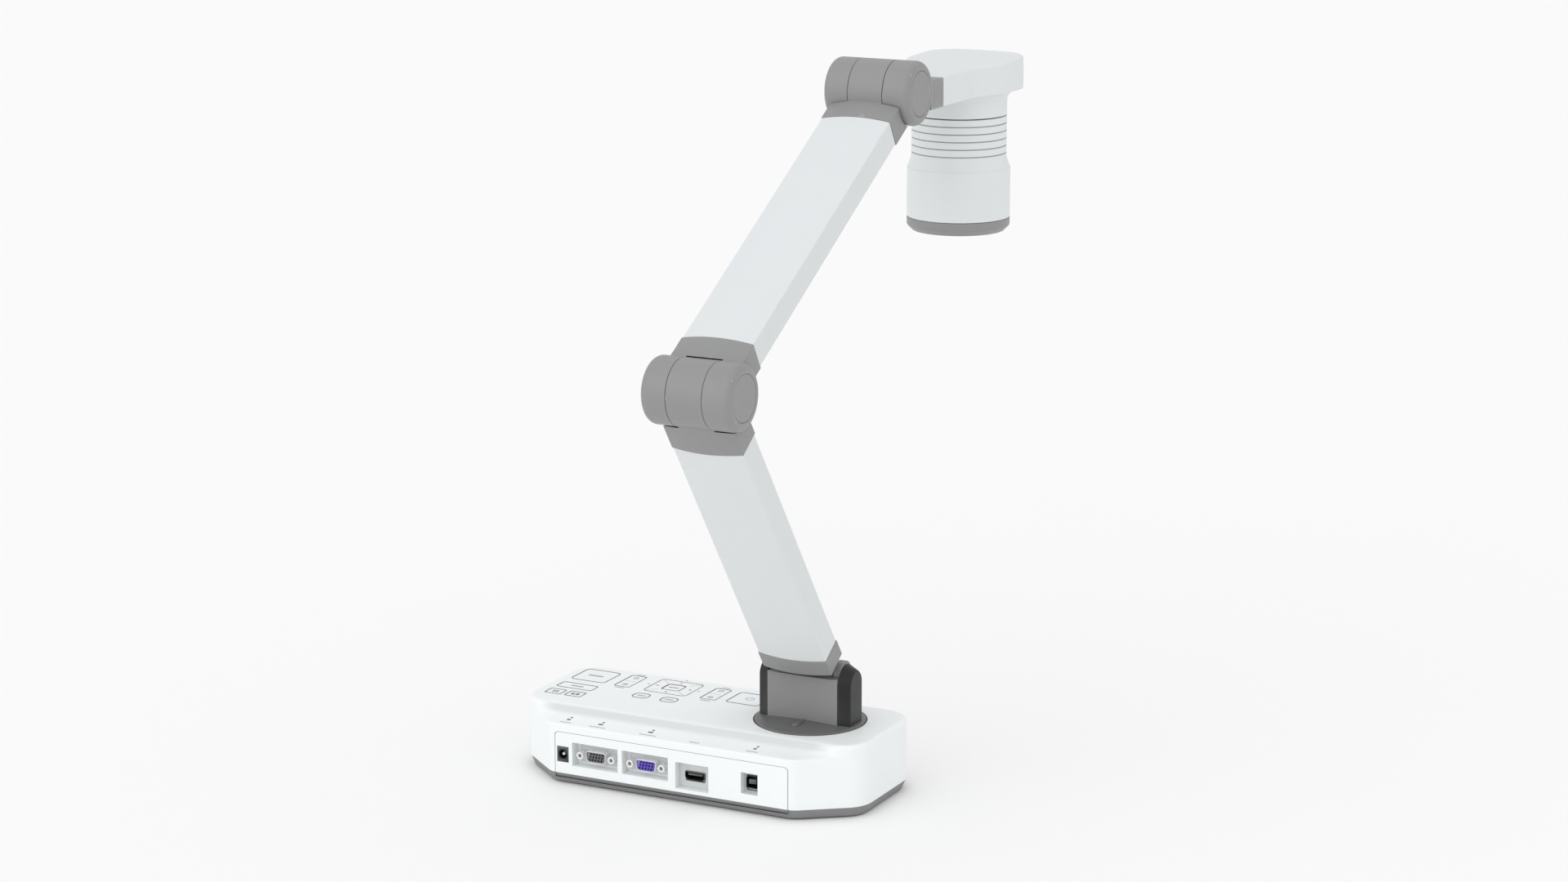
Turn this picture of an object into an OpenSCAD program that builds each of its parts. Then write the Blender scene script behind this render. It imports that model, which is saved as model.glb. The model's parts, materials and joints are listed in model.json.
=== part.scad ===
// Desktop document camera: a low base with a control panel and rear sockets, a swivelling turret,
// a folding arm of two sections and a camera head. All lengths are in millimetres.
// +X is the user's right, +Y is the back where the sockets are, +Z is up.
// The origin lies on the table, under the middle of the base.

/* [Base] */
// Width of the base
base_w = 268; // [264:0.5:272]
// Depth of the base without the socket bulge
base_d = 95; // [94:0.5:98]
// Height of the white casing above the table
base_top = 52; // [51.5:0.1:52.5]
// Plan radius of the base's corners
base_corner_r = 22; // [16:1:26]
// Height where the white casing meets the grey tray
tray_top = 8; // [7:0.5:9]
// How far the rubber feet stand out under the tray
foot_h = 1; // [0.6:0.2:1.4]
// Depth plane of the socket panel
panel_y = 66.4; // [66:0.1:67]
// Height of the socket bulge at its rear rim
bulge_top = 43.5; // [42.5:0.5:44.5]

/* [Turret] */
// Distance of the turret's axis from the middle of the base
turret_offset = 73.6; // [72:0.2:75]
// Radius of the turret's disc
disc_r = 39.2; // [38.5:0.1:39.4]
// Half the distance between the dark ears' inner faces
ear_inner = 27; // [26.8:0.1:27.4]
// Thickness of each ear
ear_t = 8.4; // [7:0.2:9]

/* [Arm] */
// Height of the lower hinge above the table
lower_hinge_z = 88.5; // [88:0.1:89]
// Distance from the lower hinge to the elbow
lower_arm = 277.4; // [270:0.2:285]
// Angle of the lower arm above the horizontal
lower_pitch = 54.6; // [45:0.2:65]
// Distance along the upper arm from the elbow to the head hinge
upper_arm = 311; // [300:1:320]
// Direction of the upper arm, measured from straight back
upper_pitch = 149.7; // [140:0.1:155]
// How far the head hinge stands out from the upper arm's line
head_hinge_out = 8.7; // [8:0.1:9.5]
// Width of both arms
arm_w = 52.6; // [50:0.2:53]
// Thickness of both arms at their edges
arm_t = 20; // [18:0.5:20.5]
// How far the outer face of the arms bulges in the middle
arm_crown = 3; // [2:0.5:4]
// Radius of the elbow and head hinge barrels
barrel_r = 22.6; // [22:0.1:23]
// Half the length of those barrels
barrel_half = 32.7; // [32:0.1:34]

/* [Head] */
// Distance from the head hinge to the lens axis
head_reach = 137.6; // [136:0.2:140]
// Radius of the grooved neck
neck_r = 34.9; // [34.5:0.1:35.2]
// Radius of the camera barrel below the neck
camera_r = 37.9; // [37.5:0.1:38.5]
// Height of the head's underside above the table
head_floor_z = 361.5; // [361:0.5:363]

/* [Sockets] */
// Spacing of the jackscrews of a video socket
jackscrew_pitch = 25; // [24.9:0.01:25.1]
// Radius of a jackscrew's tapped hole
jackscrew_hole_r = 1.42; // [1.40:0.01:1.45]

/* [Hidden] */
$fn = 64;
EPS = 0.01;

// base casing
wall = 2.4;
top_wall = 2.4;
top_edge_r = 3;
bulge_x = 1.5;
bulge_half_out = 95;
bulge_half_in = 119.5;
bulge_corner_r = 5;
bulge_rise = 2.5;
panel_half = 91.6;
panel_top = 37.9;
panel_t = 2.4;
panel_corner_r = 3;
panel_gap = 0.2;
pocket_depth = 8.5;
pocket_wall = 1.2;
tray_inset = 5;
tray_floor = 2.4;
ceiling_z = base_top - top_wall;
boss_r = 4;
boss_top = 38;
// tray screws: [x, y, and the point on the casing's wall that the boss's rib runs to]
screw_points = [
  [-118, -33, -130, -33],
  [118, -33, 130, -33],
  [-118, 33, -130, 33],
  [118, 33, 130, 33],
  [0, -36, 0, -46]
];
// feet: [x, y, radius]
foot_points = [[-104, -33, 8], [104, -33, 8], [-91, 40, 8], [94, 40, 8], [0, 0, 8]];
board_points = [[-70, 50], [76, 50], [-70, 12], [76, 12]];
ballast_t = 9.4;

// sockets: [centre x, centre z, width, height] of each pocket in the panel
dc_x = 87;
dc_z = 21.9;
dc_w = 9.3;
dc_h = 11.4;
dc_hole_r = 3.2;
dc_depth = 9.5;
dc_pin_r = 1.25;
vga_xs = [61.2, 21.2];
vga_z = 22.5;
hdmi_x = -15.9;
hdmi_z = 19.6;
usb_x = -60.6;
usb_z = 22.2;
pockets = [
  [vga_xs[0], 23, 36.5, 17],
  [vga_xs[1], 23, 36.5, 17],
  [hdmi_x, 20, 25.8, 18.8],
  [usb_x, 22.1, 12.8, 15.1]
];
pocket_floor_y = panel_y - pocket_depth;
socket_back_y = 46;
socket_front_y = panel_y - 4.4;
vga_front_y = panel_y - 1.2;
insert_back_y = pocket_floor_y - pocket_wall - 0.1;
board_z = 14;
board_t = 1.6;

// keys: [centre x, centre y, width, depth, corner radius]
key_gap = 0.4;
key_proud = 0.1;
key_lip = 0.9;
key_lip_t = 0.7;
key_travel = 0.6;
key_large_at = [110.9, -22.9, 27, 26, 3];
key_wide_at = [110.1, 5.5, 28, 11, 1.5];
key_small_1_at = [118, 22.7, 12, 10, 1];
key_small_2_at = [101.8, 22.7, 12, 10, 1];
key_small_3_at = [58, 4.8, 11.5, 9.5, 3];
key_small_4_at = [35.5, 4.8, 11.5, 9.5, 3];
key_enter_at = [46.7, -22.8, 13, 12, 1.5];
key_power_at = [-14.5, -22.3, 25, 24.5, 2.5];
rocker_1_at = [82, -22.5, 11.5, 27, 1];
rocker_2_at = [12.3, -22.2, 11.5, 26, 1];
nav_at = [46.7, -22.8, 33.5, 30, 3];
slide_keys = [
  key_large_at, key_wide_at, key_small_1_at, key_small_2_at,
  key_small_3_at, key_small_4_at, key_enter_at, key_power_at
];
stub_r = 0.9;
stub_hole_r = 0.95;
stub_z = 46.4;
nav_pivot_z = 45.8;
frame_z = 40.6;
frame_t = 1.4;
frame_plan = [49, -7.25, 158, 73.5, 16];
mat_plan = [48, -4.4, 146, 62.8, 8];
mat_posts = [[122, -4.95], [70, 22], [-16, 6]];
frame_posts = concat(mat_posts, [[-20, -39], [70.5, -40], [104, -40.2]]);
mat_t = 0.8;
dome_r = 2.6;
dome_top = ceiling_z - 0.1 - key_lip_t - key_travel - 0.1;

// turret
turret_x = -turret_offset;
turret_y = -1;
well_r = disc_r + 0.6;
well_floor_z = 44.5;
bearing_r = 30;
hub_r = 24;
disc_bottom_z = 47.55;
disc_rim_z = 53;
disc_top_z = 56;
cable_r = 9;
nub_len = 15;
nub_r = 1.6;
foot_z = 53;
lower_hinge_y = -2;
ear_r_in = 13.5;
ear_r_out = 9.4;
ear_y = -1.5;
ear_z = 81.7;
block_front = -13;
block_back = 15.4;
block_back_r = 240;
block_top = -1.5;
cheek_r = 8.6;
knuckle_r = 6;
knuckle_slot_r = 6.3;
knuckle_half = 20;
cheek_inner = 21.4;
lower_pin_r = 2.5;

// arms: offsets are measured outward from the line through the hinge axes
lower_off = 4.85;
upper_off = 3.5;
lower_sleeve_from = 29.5;
lower_sleeve_to = 238.5;
lower_cap_from = 15;
upper_sleeve_from = 36.5;
upper_sleeve_to = 272;
sleeve_inset = 0.4;
sleeve_wall = 2.2;
plug_len = 12;
plug_inset = sleeve_inset + sleeve_wall + 0.2;
spine_w = 30;
spine_h = 9;
spine_wall = 1.6;
spine_end_in = 10;
crown_r = (pow(arm_w / 2, 2) + pow(arm_crown, 2)) / (2 * arm_crown);

// hinge barrels
mid_half = 13;
outer_from = 13.4;
slit_r = barrel_r + 0.9;
barrel_round = 5;
hinge_pin_r = 4;
pin_bore_r = 4.05;
disc_cap_r = 15.8;
disc_cap_t = 2.3;
stack_r = 8.5;
stack_from = 22;
nut_from = 24.4;
nut_to = 28.8;

elbow_y = lower_hinge_y + lower_arm * cos(lower_pitch);
elbow_z = lower_hinge_z + lower_arm * sin(lower_pitch);
head_y = elbow_y + upper_arm * cos(upper_pitch) + head_hinge_out * sin(upper_pitch);
head_z = elbow_z + upper_arm * sin(upper_pitch) - head_hinge_out * cos(upper_pitch);

// head: distances are measured from the head hinge
lens_y = -head_reach;
box_half = 26.3;
box_back = -31;
box_front = -50.6;
box_low = -15.6;
box_high = 5.2;
tongue_half = 19;
cover_low = -15;
cover_high = 9.6;
cover_neck_half = 27;
spigot_r = 30;
cover_wall = 2.2;
groove_z0 = -60;
groove_pitch = 5.5;
groove_w = 0.9;
groove_depth = 0.7;
grooves = 5;
neck_top = groove_z0 + grooves * groove_pitch - groove_w / 2;
skirt_h = cover_low - neck_top - groove_w;
skirt_fillet_h = 6.5;
spigot_len = skirt_h + groove_w + 7.8;
flare_from = -60.5;
flare_to = -70;
ring_top = -107.4;
ring_low = head_floor_z - head_z;
lens_hole_r = 17;

module place_pill(p, inset) {
  r = max(p[4] - inset, 0.3);
  w = p[2] / 2 - inset - r;
  d = p[3] / 2 - inset - r;
  translate([p[0], p[1]]) {
    square([2 * (w + r), 2 * d], center = true);
    square([2 * w, 2 * (d + r)], center = true);
    for (sx = [-1, 1], sy = [-1, 1]) translate([sx * w, sy * d]) circle(r);
  }
}

module slab(p, inset, z0, z1) {
  translate([0, 0, z0]) linear_extrude(z1 - z0) place_pill(p, inset);
}

// ---- base ----

function bulge_plan(inset, from_y) = [
  [bulge_x - bulge_half_in + 1.3 * inset, from_y],
  [bulge_x + bulge_half_in - 1.3 * inset, from_y],
  [bulge_x + bulge_half_in - 1.3 * inset, base_d / 2],
  [bulge_x + bulge_half_out - 0.4 * inset, panel_y - inset],
  [bulge_x - bulge_half_out + 0.4 * inset, panel_y - inset],
  [bulge_x - bulge_half_in + 1.3 * inset, base_d / 2]
];

module body_corner(r, z0, z1, edge) {
  rotate_extrude($fn = 48) {
    translate([0, z0]) square([r, z1 - z0 - edge]);
    translate([0, z0]) square([r - edge, z1 - z0]);
    translate([r - edge, z1 - edge]) circle(edge, $fn = 24);
  }
}

module casing_solid() {
  hull() {
    for (sx = [-1, 1], sy = [-1, 1]) {
      translate([sx * (base_w / 2 - base_corner_r), sy * (base_d / 2 - base_corner_r), 0])
        body_corner(base_corner_r, tray_top, base_top, top_edge_r);
    }
  }
}

module bulge_solid() {
  hull() {
    for (s = [-1, 1]) {
      translate([bulge_x + s * (bulge_half_out - 3), panel_y - bulge_corner_r, tray_top])
        cylinder(h = bulge_top - tray_top, r = bulge_corner_r, $fn = 32);
      translate([bulge_x + s * (bulge_half_in - 1), base_d / 2 - 2, tray_top])
        cylinder(h = bulge_top - tray_top, r = 1, $fn = 16);
    }
    translate([bulge_x - bulge_half_out, base_d / 2 - 1, tray_top])
      cube([2 * bulge_half_out, 1, bulge_top + bulge_rise - tray_top]);
  }
}

module base_shell() {
  color("whitesmoke") {
    difference() {
      union() {
        casing_solid();
        bulge_solid();
      }
      slab([0, 0, base_w, base_d, base_corner_r], wall, 0, ceiling_z);
      linear_extrude(bulge_top - wall) polygon(bulge_plan(wall, 30));
      panel_slab(panel_gap, panel_y - 12, panel_y + 9);
      for (k = slide_keys) slab(k, -key_gap, ceiling_z - 1, base_top + 1);
      for (k = [rocker_1_at, rocker_2_at, nav_at]) slab(k, -key_gap, ceiling_z - 1, base_top + 1);
      translate([turret_x, turret_y, ceiling_z - 1]) cylinder(h = 9, r = well_r);
    }
    difference() {
      translate([turret_x, turret_y, well_floor_z])
        cylinder(h = ceiling_z - well_floor_z, r = well_r + 2);
      translate([turret_x, turret_y, well_floor_z + 2.5]) cylinder(h = 9, r = well_r);
      translate([turret_x, turret_y, well_floor_z - 1]) cylinder(h = 9, r = bearing_r);
    }
    for (p = frame_posts) {
      translate([p[0], p[1], frame_z + frame_t])
        cylinder(h = ceiling_z - frame_z - frame_t, r = 2.5);
    }
    for (p = screw_points) {
      difference() {
        union() {
          translate([p[0], p[1], tray_top]) cylinder(h = boss_top - tray_top, r = boss_r);
          hull() for (end = [[p[0], p[1]], [p[2], p[3]]]) {
            translate([end[0] - 1, end[1] - 1, tray_top]) cube([2, 2, boss_top - tray_top]);
          }
        }
        translate([p[0], p[1], tray_top - 1]) cylinder(h = 13, r = 1.6);
      }
    }
  }
}

// Plate in the panel's outline between two depths, grown sideways and upward by g
module panel_slab(g, from_y, to_y) {
  half = panel_half + g;
  top = panel_top + g;
  translate([bulge_x, to_y, 0]) rotate([90, 0, 0]) linear_extrude(to_y - from_y) {
    translate([-half, tray_top]) square([2 * half, top - tray_top - panel_corner_r]);
    translate([panel_corner_r - half, tray_top])
      square([2 * (half - panel_corner_r), top - tray_top]);
    for (s = [-1, 1]) translate([s * (half - panel_corner_r), top - panel_corner_r])
      circle(panel_corner_r);
  }
}

module port_panel() {
  color("whitesmoke") difference() {
    union() {
      panel_slab(0, panel_y - panel_t, panel_y);
      panel_slab(1.4, panel_y - panel_t - 1.1, panel_y - panel_t);
      for (p = pockets) {
        translate([p[0] - p[2] / 2 - pocket_wall, pocket_floor_y - pocket_wall,
                   p[1] - p[3] / 2 - pocket_wall])
          cube([p[2] + 2 * pocket_wall, pocket_depth, p[3] + 2 * pocket_wall]);
      }
    }
    for (p = pockets) {
      translate([p[0] - p[2] / 2, pocket_floor_y, p[1] - p[3] / 2])
        cube([p[2], pocket_depth + 1, p[3]]);
    }
    for (x = vga_xs) {
      translate([x - 10, socket_back_y, vga_z - 5.4]) cube([20, 20, 10.8]);
      for (s = [-1, 1]) facing_back(x + s * jackscrew_pitch / 2, vga_z) cylinder(h = 90, r = 1.7);
    }
    translate([hdmi_x - 8, socket_back_y, hdmi_z - 3.4]) cube([16, 20, 6.8]);
    translate([usb_x - 5, socket_back_y, usb_z - 5]) cube([10, 20, 10]);
    translate([dc_x - dc_w / 2, socket_back_y, dc_z - dc_h / 2]) cube([dc_w, 30, dc_h]);
  }
}

module tray_level(inset, z, h) {
  for (sx = [-1, 1], sy = [-1, 1]) {
    translate([sx * (base_w / 2 - base_corner_r), sy * (base_d / 2 - base_corner_r), z])
      cylinder(h = h, r = base_corner_r - inset, $fn = 48);
  }
}

module tray_bulge_level(inset, z, h) {
  for (s = [-1, 1]) {
    translate([bulge_x + s * (bulge_half_out - 3 - inset), panel_y - 9, z])
      cylinder(h = h, r = 9 - inset * 0.6, $fn = 32);
    translate([bulge_x + s * (bulge_half_in - 9 - inset), base_d / 2 - 10, z])
      cylinder(h = h, r = 8 - inset, $fn = 24);
  }
}

module base_tray() {
  color("dimgray") {
    difference() {
      union() {
        hull() {
          tray_level(0.3, tray_top - 1, 1);
          tray_level(tray_inset, foot_h, 1);
        }
        hull() {
          tray_bulge_level(0.3, tray_top - 1, 1);
          tray_bulge_level(tray_inset, foot_h, 1);
        }
      }
      slab([0, 0, base_w - 14, base_d - 14, base_corner_r - 7], 0, foot_h + tray_floor, tray_top + 1);
      translate([bulge_x - bulge_half_out + 4, 0, foot_h + tray_floor])
        cube([2 * bulge_half_out - 8, panel_y - 6, tray_top]);
      for (p = screw_points) {
        translate([p[0], p[1], 0]) cylinder(h = 12, r = 1.8);
        translate([p[0], p[1], 0]) cylinder(h = foot_h + 2.2, r = 3.6);
      }
      for (p = foot_points) translate([p[0], p[1], 0]) cylinder(h = foot_h + 1.2, r = p[2] + 0.1);
    }
    for (p = screw_points) {
      difference() {
        translate([p[0], p[1], foot_h + 2.2]) cylinder(h = tray_top - foot_h - 2.2, r = boss_r);
        translate([p[0], p[1], 0]) cylinder(h = 12, r = 1.8);
      }
    }
    for (p = board_points) {
      translate([p[0], p[1], foot_h + tray_floor])
        cylinder(h = board_z - foot_h - tray_floor, r = 3);
    }
  }
}

module rubber_feet() {
  color("black") for (p = foot_points) {
    translate([p[0], p[1], 0]) cylinder(h = foot_h + 1.2, r = p[2]);
  }
}

module tray_screws() {
  color("silver") for (p = screw_points) {
    translate([p[0], p[1], foot_h + 0.2]) difference() {
      union() {
        cylinder(h = 1.9, r = 3.2);
        cylinder(h = 16, r = 1.5);
      }
      translate([-2, -0.4, -EPS]) cube([4, 0.8, 1]);
      translate([-0.4, -2, -EPS]) cube([0.8, 4, 1]);
    }
  }
}

module ballast_plate() {
  color("slategray") difference() {
    union() {
      translate([-100, -31, foot_h + tray_floor]) cube([200, 36, ballast_t]);
      translate([-82, 0, foot_h + tray_floor]) cube([168, 56, ballast_t]);
    }
    for (p = board_points) translate([p[0], p[1], 0]) cylinder(h = 30, r = 3.6);
  }
}

module main_board() {
  color("seagreen") {
    translate([-80, 6, board_z]) cube([175, 50, board_t]);
    translate([-40, 14, board_z + board_t]) cube([26, 26, 3]);
    translate([10, 16, board_z + board_t]) cube([18, 14, 2]);
    translate([46, 12, board_z + board_t]) cylinder(h = 9, r = 5);
    translate([60, 12, board_z + board_t]) cylinder(h = 9, r = 5);
  }
}

module facing_back(x, z) {
  translate([x, 0, z]) rotate([-90, 0, 0]) children();
}

module dc_jack() {
  color("black") difference() {
    union() {
      translate([dc_x - dc_w / 2 + 0.1, panel_y - 13, dc_z - dc_h / 2 + 0.1])
        cube([dc_w - 0.2, 12.9, dc_h - 0.2]);
      translate([dc_x - dc_w / 2 + 0.1, panel_y - 13, board_z + board_t]) cube([dc_w - 0.2, 2.5, 2]);
    }
    facing_back(dc_x, dc_z) translate([0, 0, panel_y - dc_depth]) cylinder(h = 20, r = dc_hole_r);
  }
}

module dc_pin() {
  color("silver") facing_back(dc_x, dc_z) {
    translate([0, 0, panel_y - dc_depth]) cylinder(h = dc_depth - 2, r = dc_pin_r);
    translate([0, 0, panel_y - 2]) sphere(dc_pin_r);
  }
}

// D outline of a video socket: wide at the top, with rounded corners
module d_outline(half_w, half_h, r) {
  low_w = half_w - 1.4;
  hull() {
    for (s = [-1, 1]) {
      translate([s * (half_w - r), half_h - r]) circle(r, $fn = 24);
      translate([s * (low_w - r), r - half_h]) circle(r, $fn = 24);
    }
  }
}

module d_block(half_w, half_h, r, y0, y1) {
  translate([0, y1, vga_z]) rotate([90, 0, 0]) linear_extrude(y1 - y0) d_outline(half_w, half_h, r);
}

module vga_shells() {
  color("silver") for (x = vga_xs) {
    difference() {
      union() {
        translate([x, 0, 0]) d_block(8.4, 4.2, 1.6, pocket_floor_y, vga_front_y);
        translate([x - 15.6, pocket_floor_y, vga_z - 6.2]) cube([31.2, 0.8, 12.4]);
      }
      translate([x, 0, 0]) d_block(7.9, 3.7, 1.2, pocket_floor_y - 1, vga_front_y + 1);
      for (s = [-1, 1]) facing_back(x + s * jackscrew_pitch / 2, vga_z) cylinder(h = 90, r = 1.7);
    }
  }
}

module vga_insert(x) {
  difference() {
    union() {
      translate([x, 0, 0]) d_block(7.85, 3.65, 1.15, insert_back_y - 0.2, vga_front_y - 1);
      translate([x - 9.8, socket_back_y + 0.5, board_z + board_t])
        cube([19.6, insert_back_y - socket_back_y - 0.5, vga_z + 5 - board_z - board_t]);
    }
    for (row = [-1, 0, 1], i = [-2 : 2]) {
      facing_back(x + 2.2 * i - 0.5 * row, vga_z + 2 * row)
        translate([0, 0, vga_front_y - 5]) cylinder(h = 9, r = 0.5, $fn = 16);
    }
  }
}

module vga_insert_grey() {
  color("dimgray") vga_insert(vga_xs[0]);
}

module vga_insert_blue() {
  color("slateblue") vga_insert(vga_xs[1]);
}

module jackscrews() {
  color("gainsboro") for (x = vga_xs, s = [-1, 1]) {
    facing_back(x + s * jackscrew_pitch / 2, vga_z) difference() {
      union() {
        translate([0, 0, pocket_floor_y + 0.8])
          cylinder(h = pocket_depth - 1.5, r = 2.9, $fn = 6);
        translate([0, 0, pocket_floor_y - 3]) cylinder(h = 5, r = 1.6);
      }
      translate([0, 0, pocket_floor_y + 1.5]) cylinder(h = 20, r = jackscrew_hole_r);
    }
  }
}

function hdmi_plan(g) = [
  [-7.6 + g, 3 - g], [7.6 - g, 3 - g], [7.6 - g, -1.2], [5.6 - g, -3 + g],
  [-5.6 + g, -3 + g], [-7.6 + g, -1.2]
];

function usb_plan(g) = [
  [-4.7 + g, -4.6 + g], [4.7 - g, -4.6 + g], [4.7 - g, 2.8], [2.9 - g / 2, 4.6 - g],
  [-2.9 + g / 2, 4.6 - g], [-4.7 + g, 2.8]
];

module socket_can(x, z, plan, plan_in) {
  translate([x, socket_front_y, z]) rotate([90, 0, 0]) difference() {
    linear_extrude(socket_front_y - socket_back_y - 1) polygon(plan);
    translate([0, 0, -1]) linear_extrude(11) polygon(plan_in);
  }
}

module can_legs(x, half, top) {
  for (s = [-1, 1]) {
    translate([x + s * (half - 0.5) - 0.5, socket_back_y + 2, board_z + board_t])
      cube([1, 8, top - board_z - board_t]);
  }
}

module hdmi_shell() {
  color("darkgray") {
    socket_can(hdmi_x, hdmi_z, hdmi_plan(0), hdmi_plan(0.5));
    can_legs(hdmi_x, 7.6, hdmi_z);
  }
}

module usb_shell() {
  color("darkgray") {
    socket_can(usb_x, usb_z, usb_plan(0), usb_plan(0.5));
    can_legs(usb_x, 4.7, usb_z);
  }
}

module socket_tongues() {
  color("black") {
    translate([hdmi_x - 5.6, socket_front_y - 10, hdmi_z + 0.2]) cube([11.2, 9, 1.3]);
    translate([usb_x - 2.8, socket_front_y - 10, usb_z - 1.6]) cube([5.6, 9, 3.2]);
  }
}

// ---- keys ----

module key_plunger(k, lip = key_lip) {
  slab(k, 0, ceiling_z - 0.1 - key_lip_t, base_top + key_proud);
  slab(k, -lip, ceiling_z - 0.1 - key_lip_t, ceiling_z - 0.1);
}

module key_large() {
  color("white") key_plunger(key_large_at);
}

module key_wide() {
  color("white") key_plunger(key_wide_at);
}

module key_small_1() {
  color("white") key_plunger(key_small_1_at);
}

module key_small_2() {
  color("white") key_plunger(key_small_2_at);
}

module key_small_3() {
  color("white") key_plunger(key_small_3_at);
}

module key_small_4() {
  color("white") key_plunger(key_small_4_at);
}

module key_enter() {
  color("white") key_plunger(key_enter_at, 1.2);
}

module key_power() {
  color("white") key_plunger(key_power_at);
}

module rocker_key(k) {
  slab(k, 0, ceiling_z + 0.3, base_top + key_proud);
  translate([k[0] - 3, k[1] - 2, stub_z - 1.6]) cube([6, 4, ceiling_z + 0.5 - stub_z + 1.6]);
  translate([k[0] - 4.8, k[1], stub_z]) rotate([0, 90, 0]) cylinder(h = 9.6, r = stub_r);
}

module rocker_key_1() {
  color("white") rocker_key(rocker_1_at);
}

module rocker_key_2() {
  color("white") rocker_key(rocker_2_at);
}

// The ring rocks left and right on the pivot frame, which rocks fore and aft on the key frame.
nav_in = [nav_at[0], nav_at[1], key_enter_at[2] + 1.6, key_enter_at[3] + 1.6, 2];
pivot_out = [nav_at[0], nav_at[1], 24, 22, 2];
pivot_in = [nav_at[0], nav_at[1], 19, 17, 1];

module nav_ring() {
  color("white") {
    difference() {
      slab(nav_at, 0, ceiling_z + 0.3, base_top + key_proud);
      slab(nav_in, 0, ceiling_z - 1, base_top + 2);
    }
    for (s = [-1, 1]) {
      difference() {
        translate([nav_at[0] - 2, nav_at[1] + s * 13 - 1, nav_pivot_z - 1.8])
          cube([4, 2, ceiling_z + 0.5 - nav_pivot_z + 1.8]);
        translate([nav_at[0], nav_at[1] + s * 13 - 2, nav_pivot_z]) rotate([-90, 0, 0])
          cylinder(h = 4, r = stub_hole_r);
      }
    }
  }
}

module nav_pivot() {
  color("lightgray") {
    difference() {
      slab(pivot_out, 0, nav_pivot_z - 1.1, nav_pivot_z + 1.1);
      slab(pivot_in, 0, nav_pivot_z - 2, nav_pivot_z + 2);
    }
    for (s = [-1, 1]) {
      translate([nav_at[0], nav_at[1] + s * 10.5, nav_pivot_z]) rotate([-s * 90, 0, 0])
        cylinder(h = 3.2, r = stub_r);
      translate([nav_at[0] + s * 11.5, nav_at[1], nav_pivot_z]) rotate([0, s * 90, 0])
        cylinder(h = 4, r = stub_r);
    }
  }
}

module stub_post(x, y, axis_z, top_z) {
  difference() {
    translate([x - 0.75, y - 1.6, frame_z + frame_t - EPS])
      cube([1.5, 3.2, top_z - frame_z - frame_t]);
    translate([x - 2, y, axis_z]) rotate([0, 90, 0]) cylinder(h = 4, r = stub_hole_r);
  }
}

module key_frame() {
  color("lightgray") {
    slab(frame_plan, 0, frame_z, frame_z + frame_t);
    for (k = [rocker_1_at, rocker_2_at], s = [-1, 1]) {
      stub_post(k[0] + s * 3.95, k[1], stub_z, stub_z + 1.6);
    }
    for (s = [-1, 1]) stub_post(nav_at[0] + s * 14.2, nav_at[1], nav_pivot_z, nav_pivot_z + 1.6);
  }
}

module key_mat() {
  color("darkslategray") difference() {
    union() {
      slab(mat_plan, 0, frame_z + frame_t, frame_z + frame_t + mat_t);
      for (k = slide_keys) {
        translate([k[0], k[1], frame_z + frame_t])
          cylinder(h = dome_top - frame_z - frame_t, r = dome_r);
      }
    }
    for (p = mat_posts) translate([p[0], p[1], frame_z]) cylinder(h = 9, r = 3);
    for (k = [rocker_1_at, rocker_2_at], s = [-1, 1]) {
      translate([k[0] + s * 3.95 - 1.2, k[1] - 2.2, frame_z]) cube([2.4, 4.4, 9]);
    }
    for (s = [-1, 1]) {
      translate([nav_at[0] + s * 14.2 - 1.2, nav_at[1] - 2.2, frame_z]) cube([2.4, 4.4, 9]);
    }
  }
}

// ---- turret ----

module at_turret(z) {
  translate([turret_x, turret_y, z]) children();
}

module at_lower_hinge() {
  translate([turret_x, lower_hinge_y, lower_hinge_z]) children();
}

module along_x(x0, x1, r) {
  translate([x0, 0, 0]) rotate([0, 90, 0]) cylinder(h = x1 - x0, r = r);
}

module block_plan() {
  intersection() {
    translate([-ear_inner, lower_hinge_y + block_front])
      square([2 * ear_inner, block_back - block_front]);
    translate([0, lower_hinge_y + block_back - block_back_r]) circle(block_back_r, $fn = 180);
  }
}

// An ear narrows outward: a cone on top of a block with slanted front and rear
module ear_at(s) {
  translate([turret_x, ear_y, 0]) {
    translate([0, 0, ear_z]) rotate([0, s * 90, 0]) translate([0, 0, ear_inner])
      cylinder(h = ear_t, r1 = ear_r_in, r2 = ear_r_out);
    translate([0, 0, foot_z]) linear_extrude(ear_z - foot_z) polygon([
      [s * ear_inner, -ear_r_in], [s * ear_inner, ear_r_in],
      [s * (ear_inner + ear_t), ear_r_out], [s * (ear_inner + ear_t), -ear_r_out]
    ]);
  }
}

module turret_bearing() {
  color("black") at_turret(0) difference() {
    union() {
      translate([0, 0, 43.5]) cylinder(h = 4, r = bearing_r - 0.05);
      translate([0, 0, well_floor_z + 2.5]) cylinder(h = 0.5, r = 34);
    }
    translate([0, 0, 40]) cylinder(h = 12, r = hub_r + 0.05);
  }
}

// The disc's top is a low dome: a ring of short cones between the radii given here
function dome_z(r) = disc_top_z - (disc_top_z - disc_rim_z) * pow(r / disc_r, 2);

module turret_disc() {
  color("gray") difference() {
    union() {
      at_turret(0) rotate_extrude() polygon(concat(
        [[cable_r, 40], [hub_r, 40], [hub_r, disc_bottom_z], [disc_r, disc_bottom_z]],
        [for (r = [disc_r, 34, 27, 18, cable_r]) [r, dome_z(r)]]
      ));
      translate([turret_x - 2.4, lower_hinge_y + 14, dome_z(22)]) rotate([-90, 0, 4])
        cylinder(h = nub_len, r = nub_r);
    }
    translate([turret_x, 0, foot_z]) linear_extrude(9) block_plan();
    ear_at(1);
    ear_at(-1);
  }
}

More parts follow.
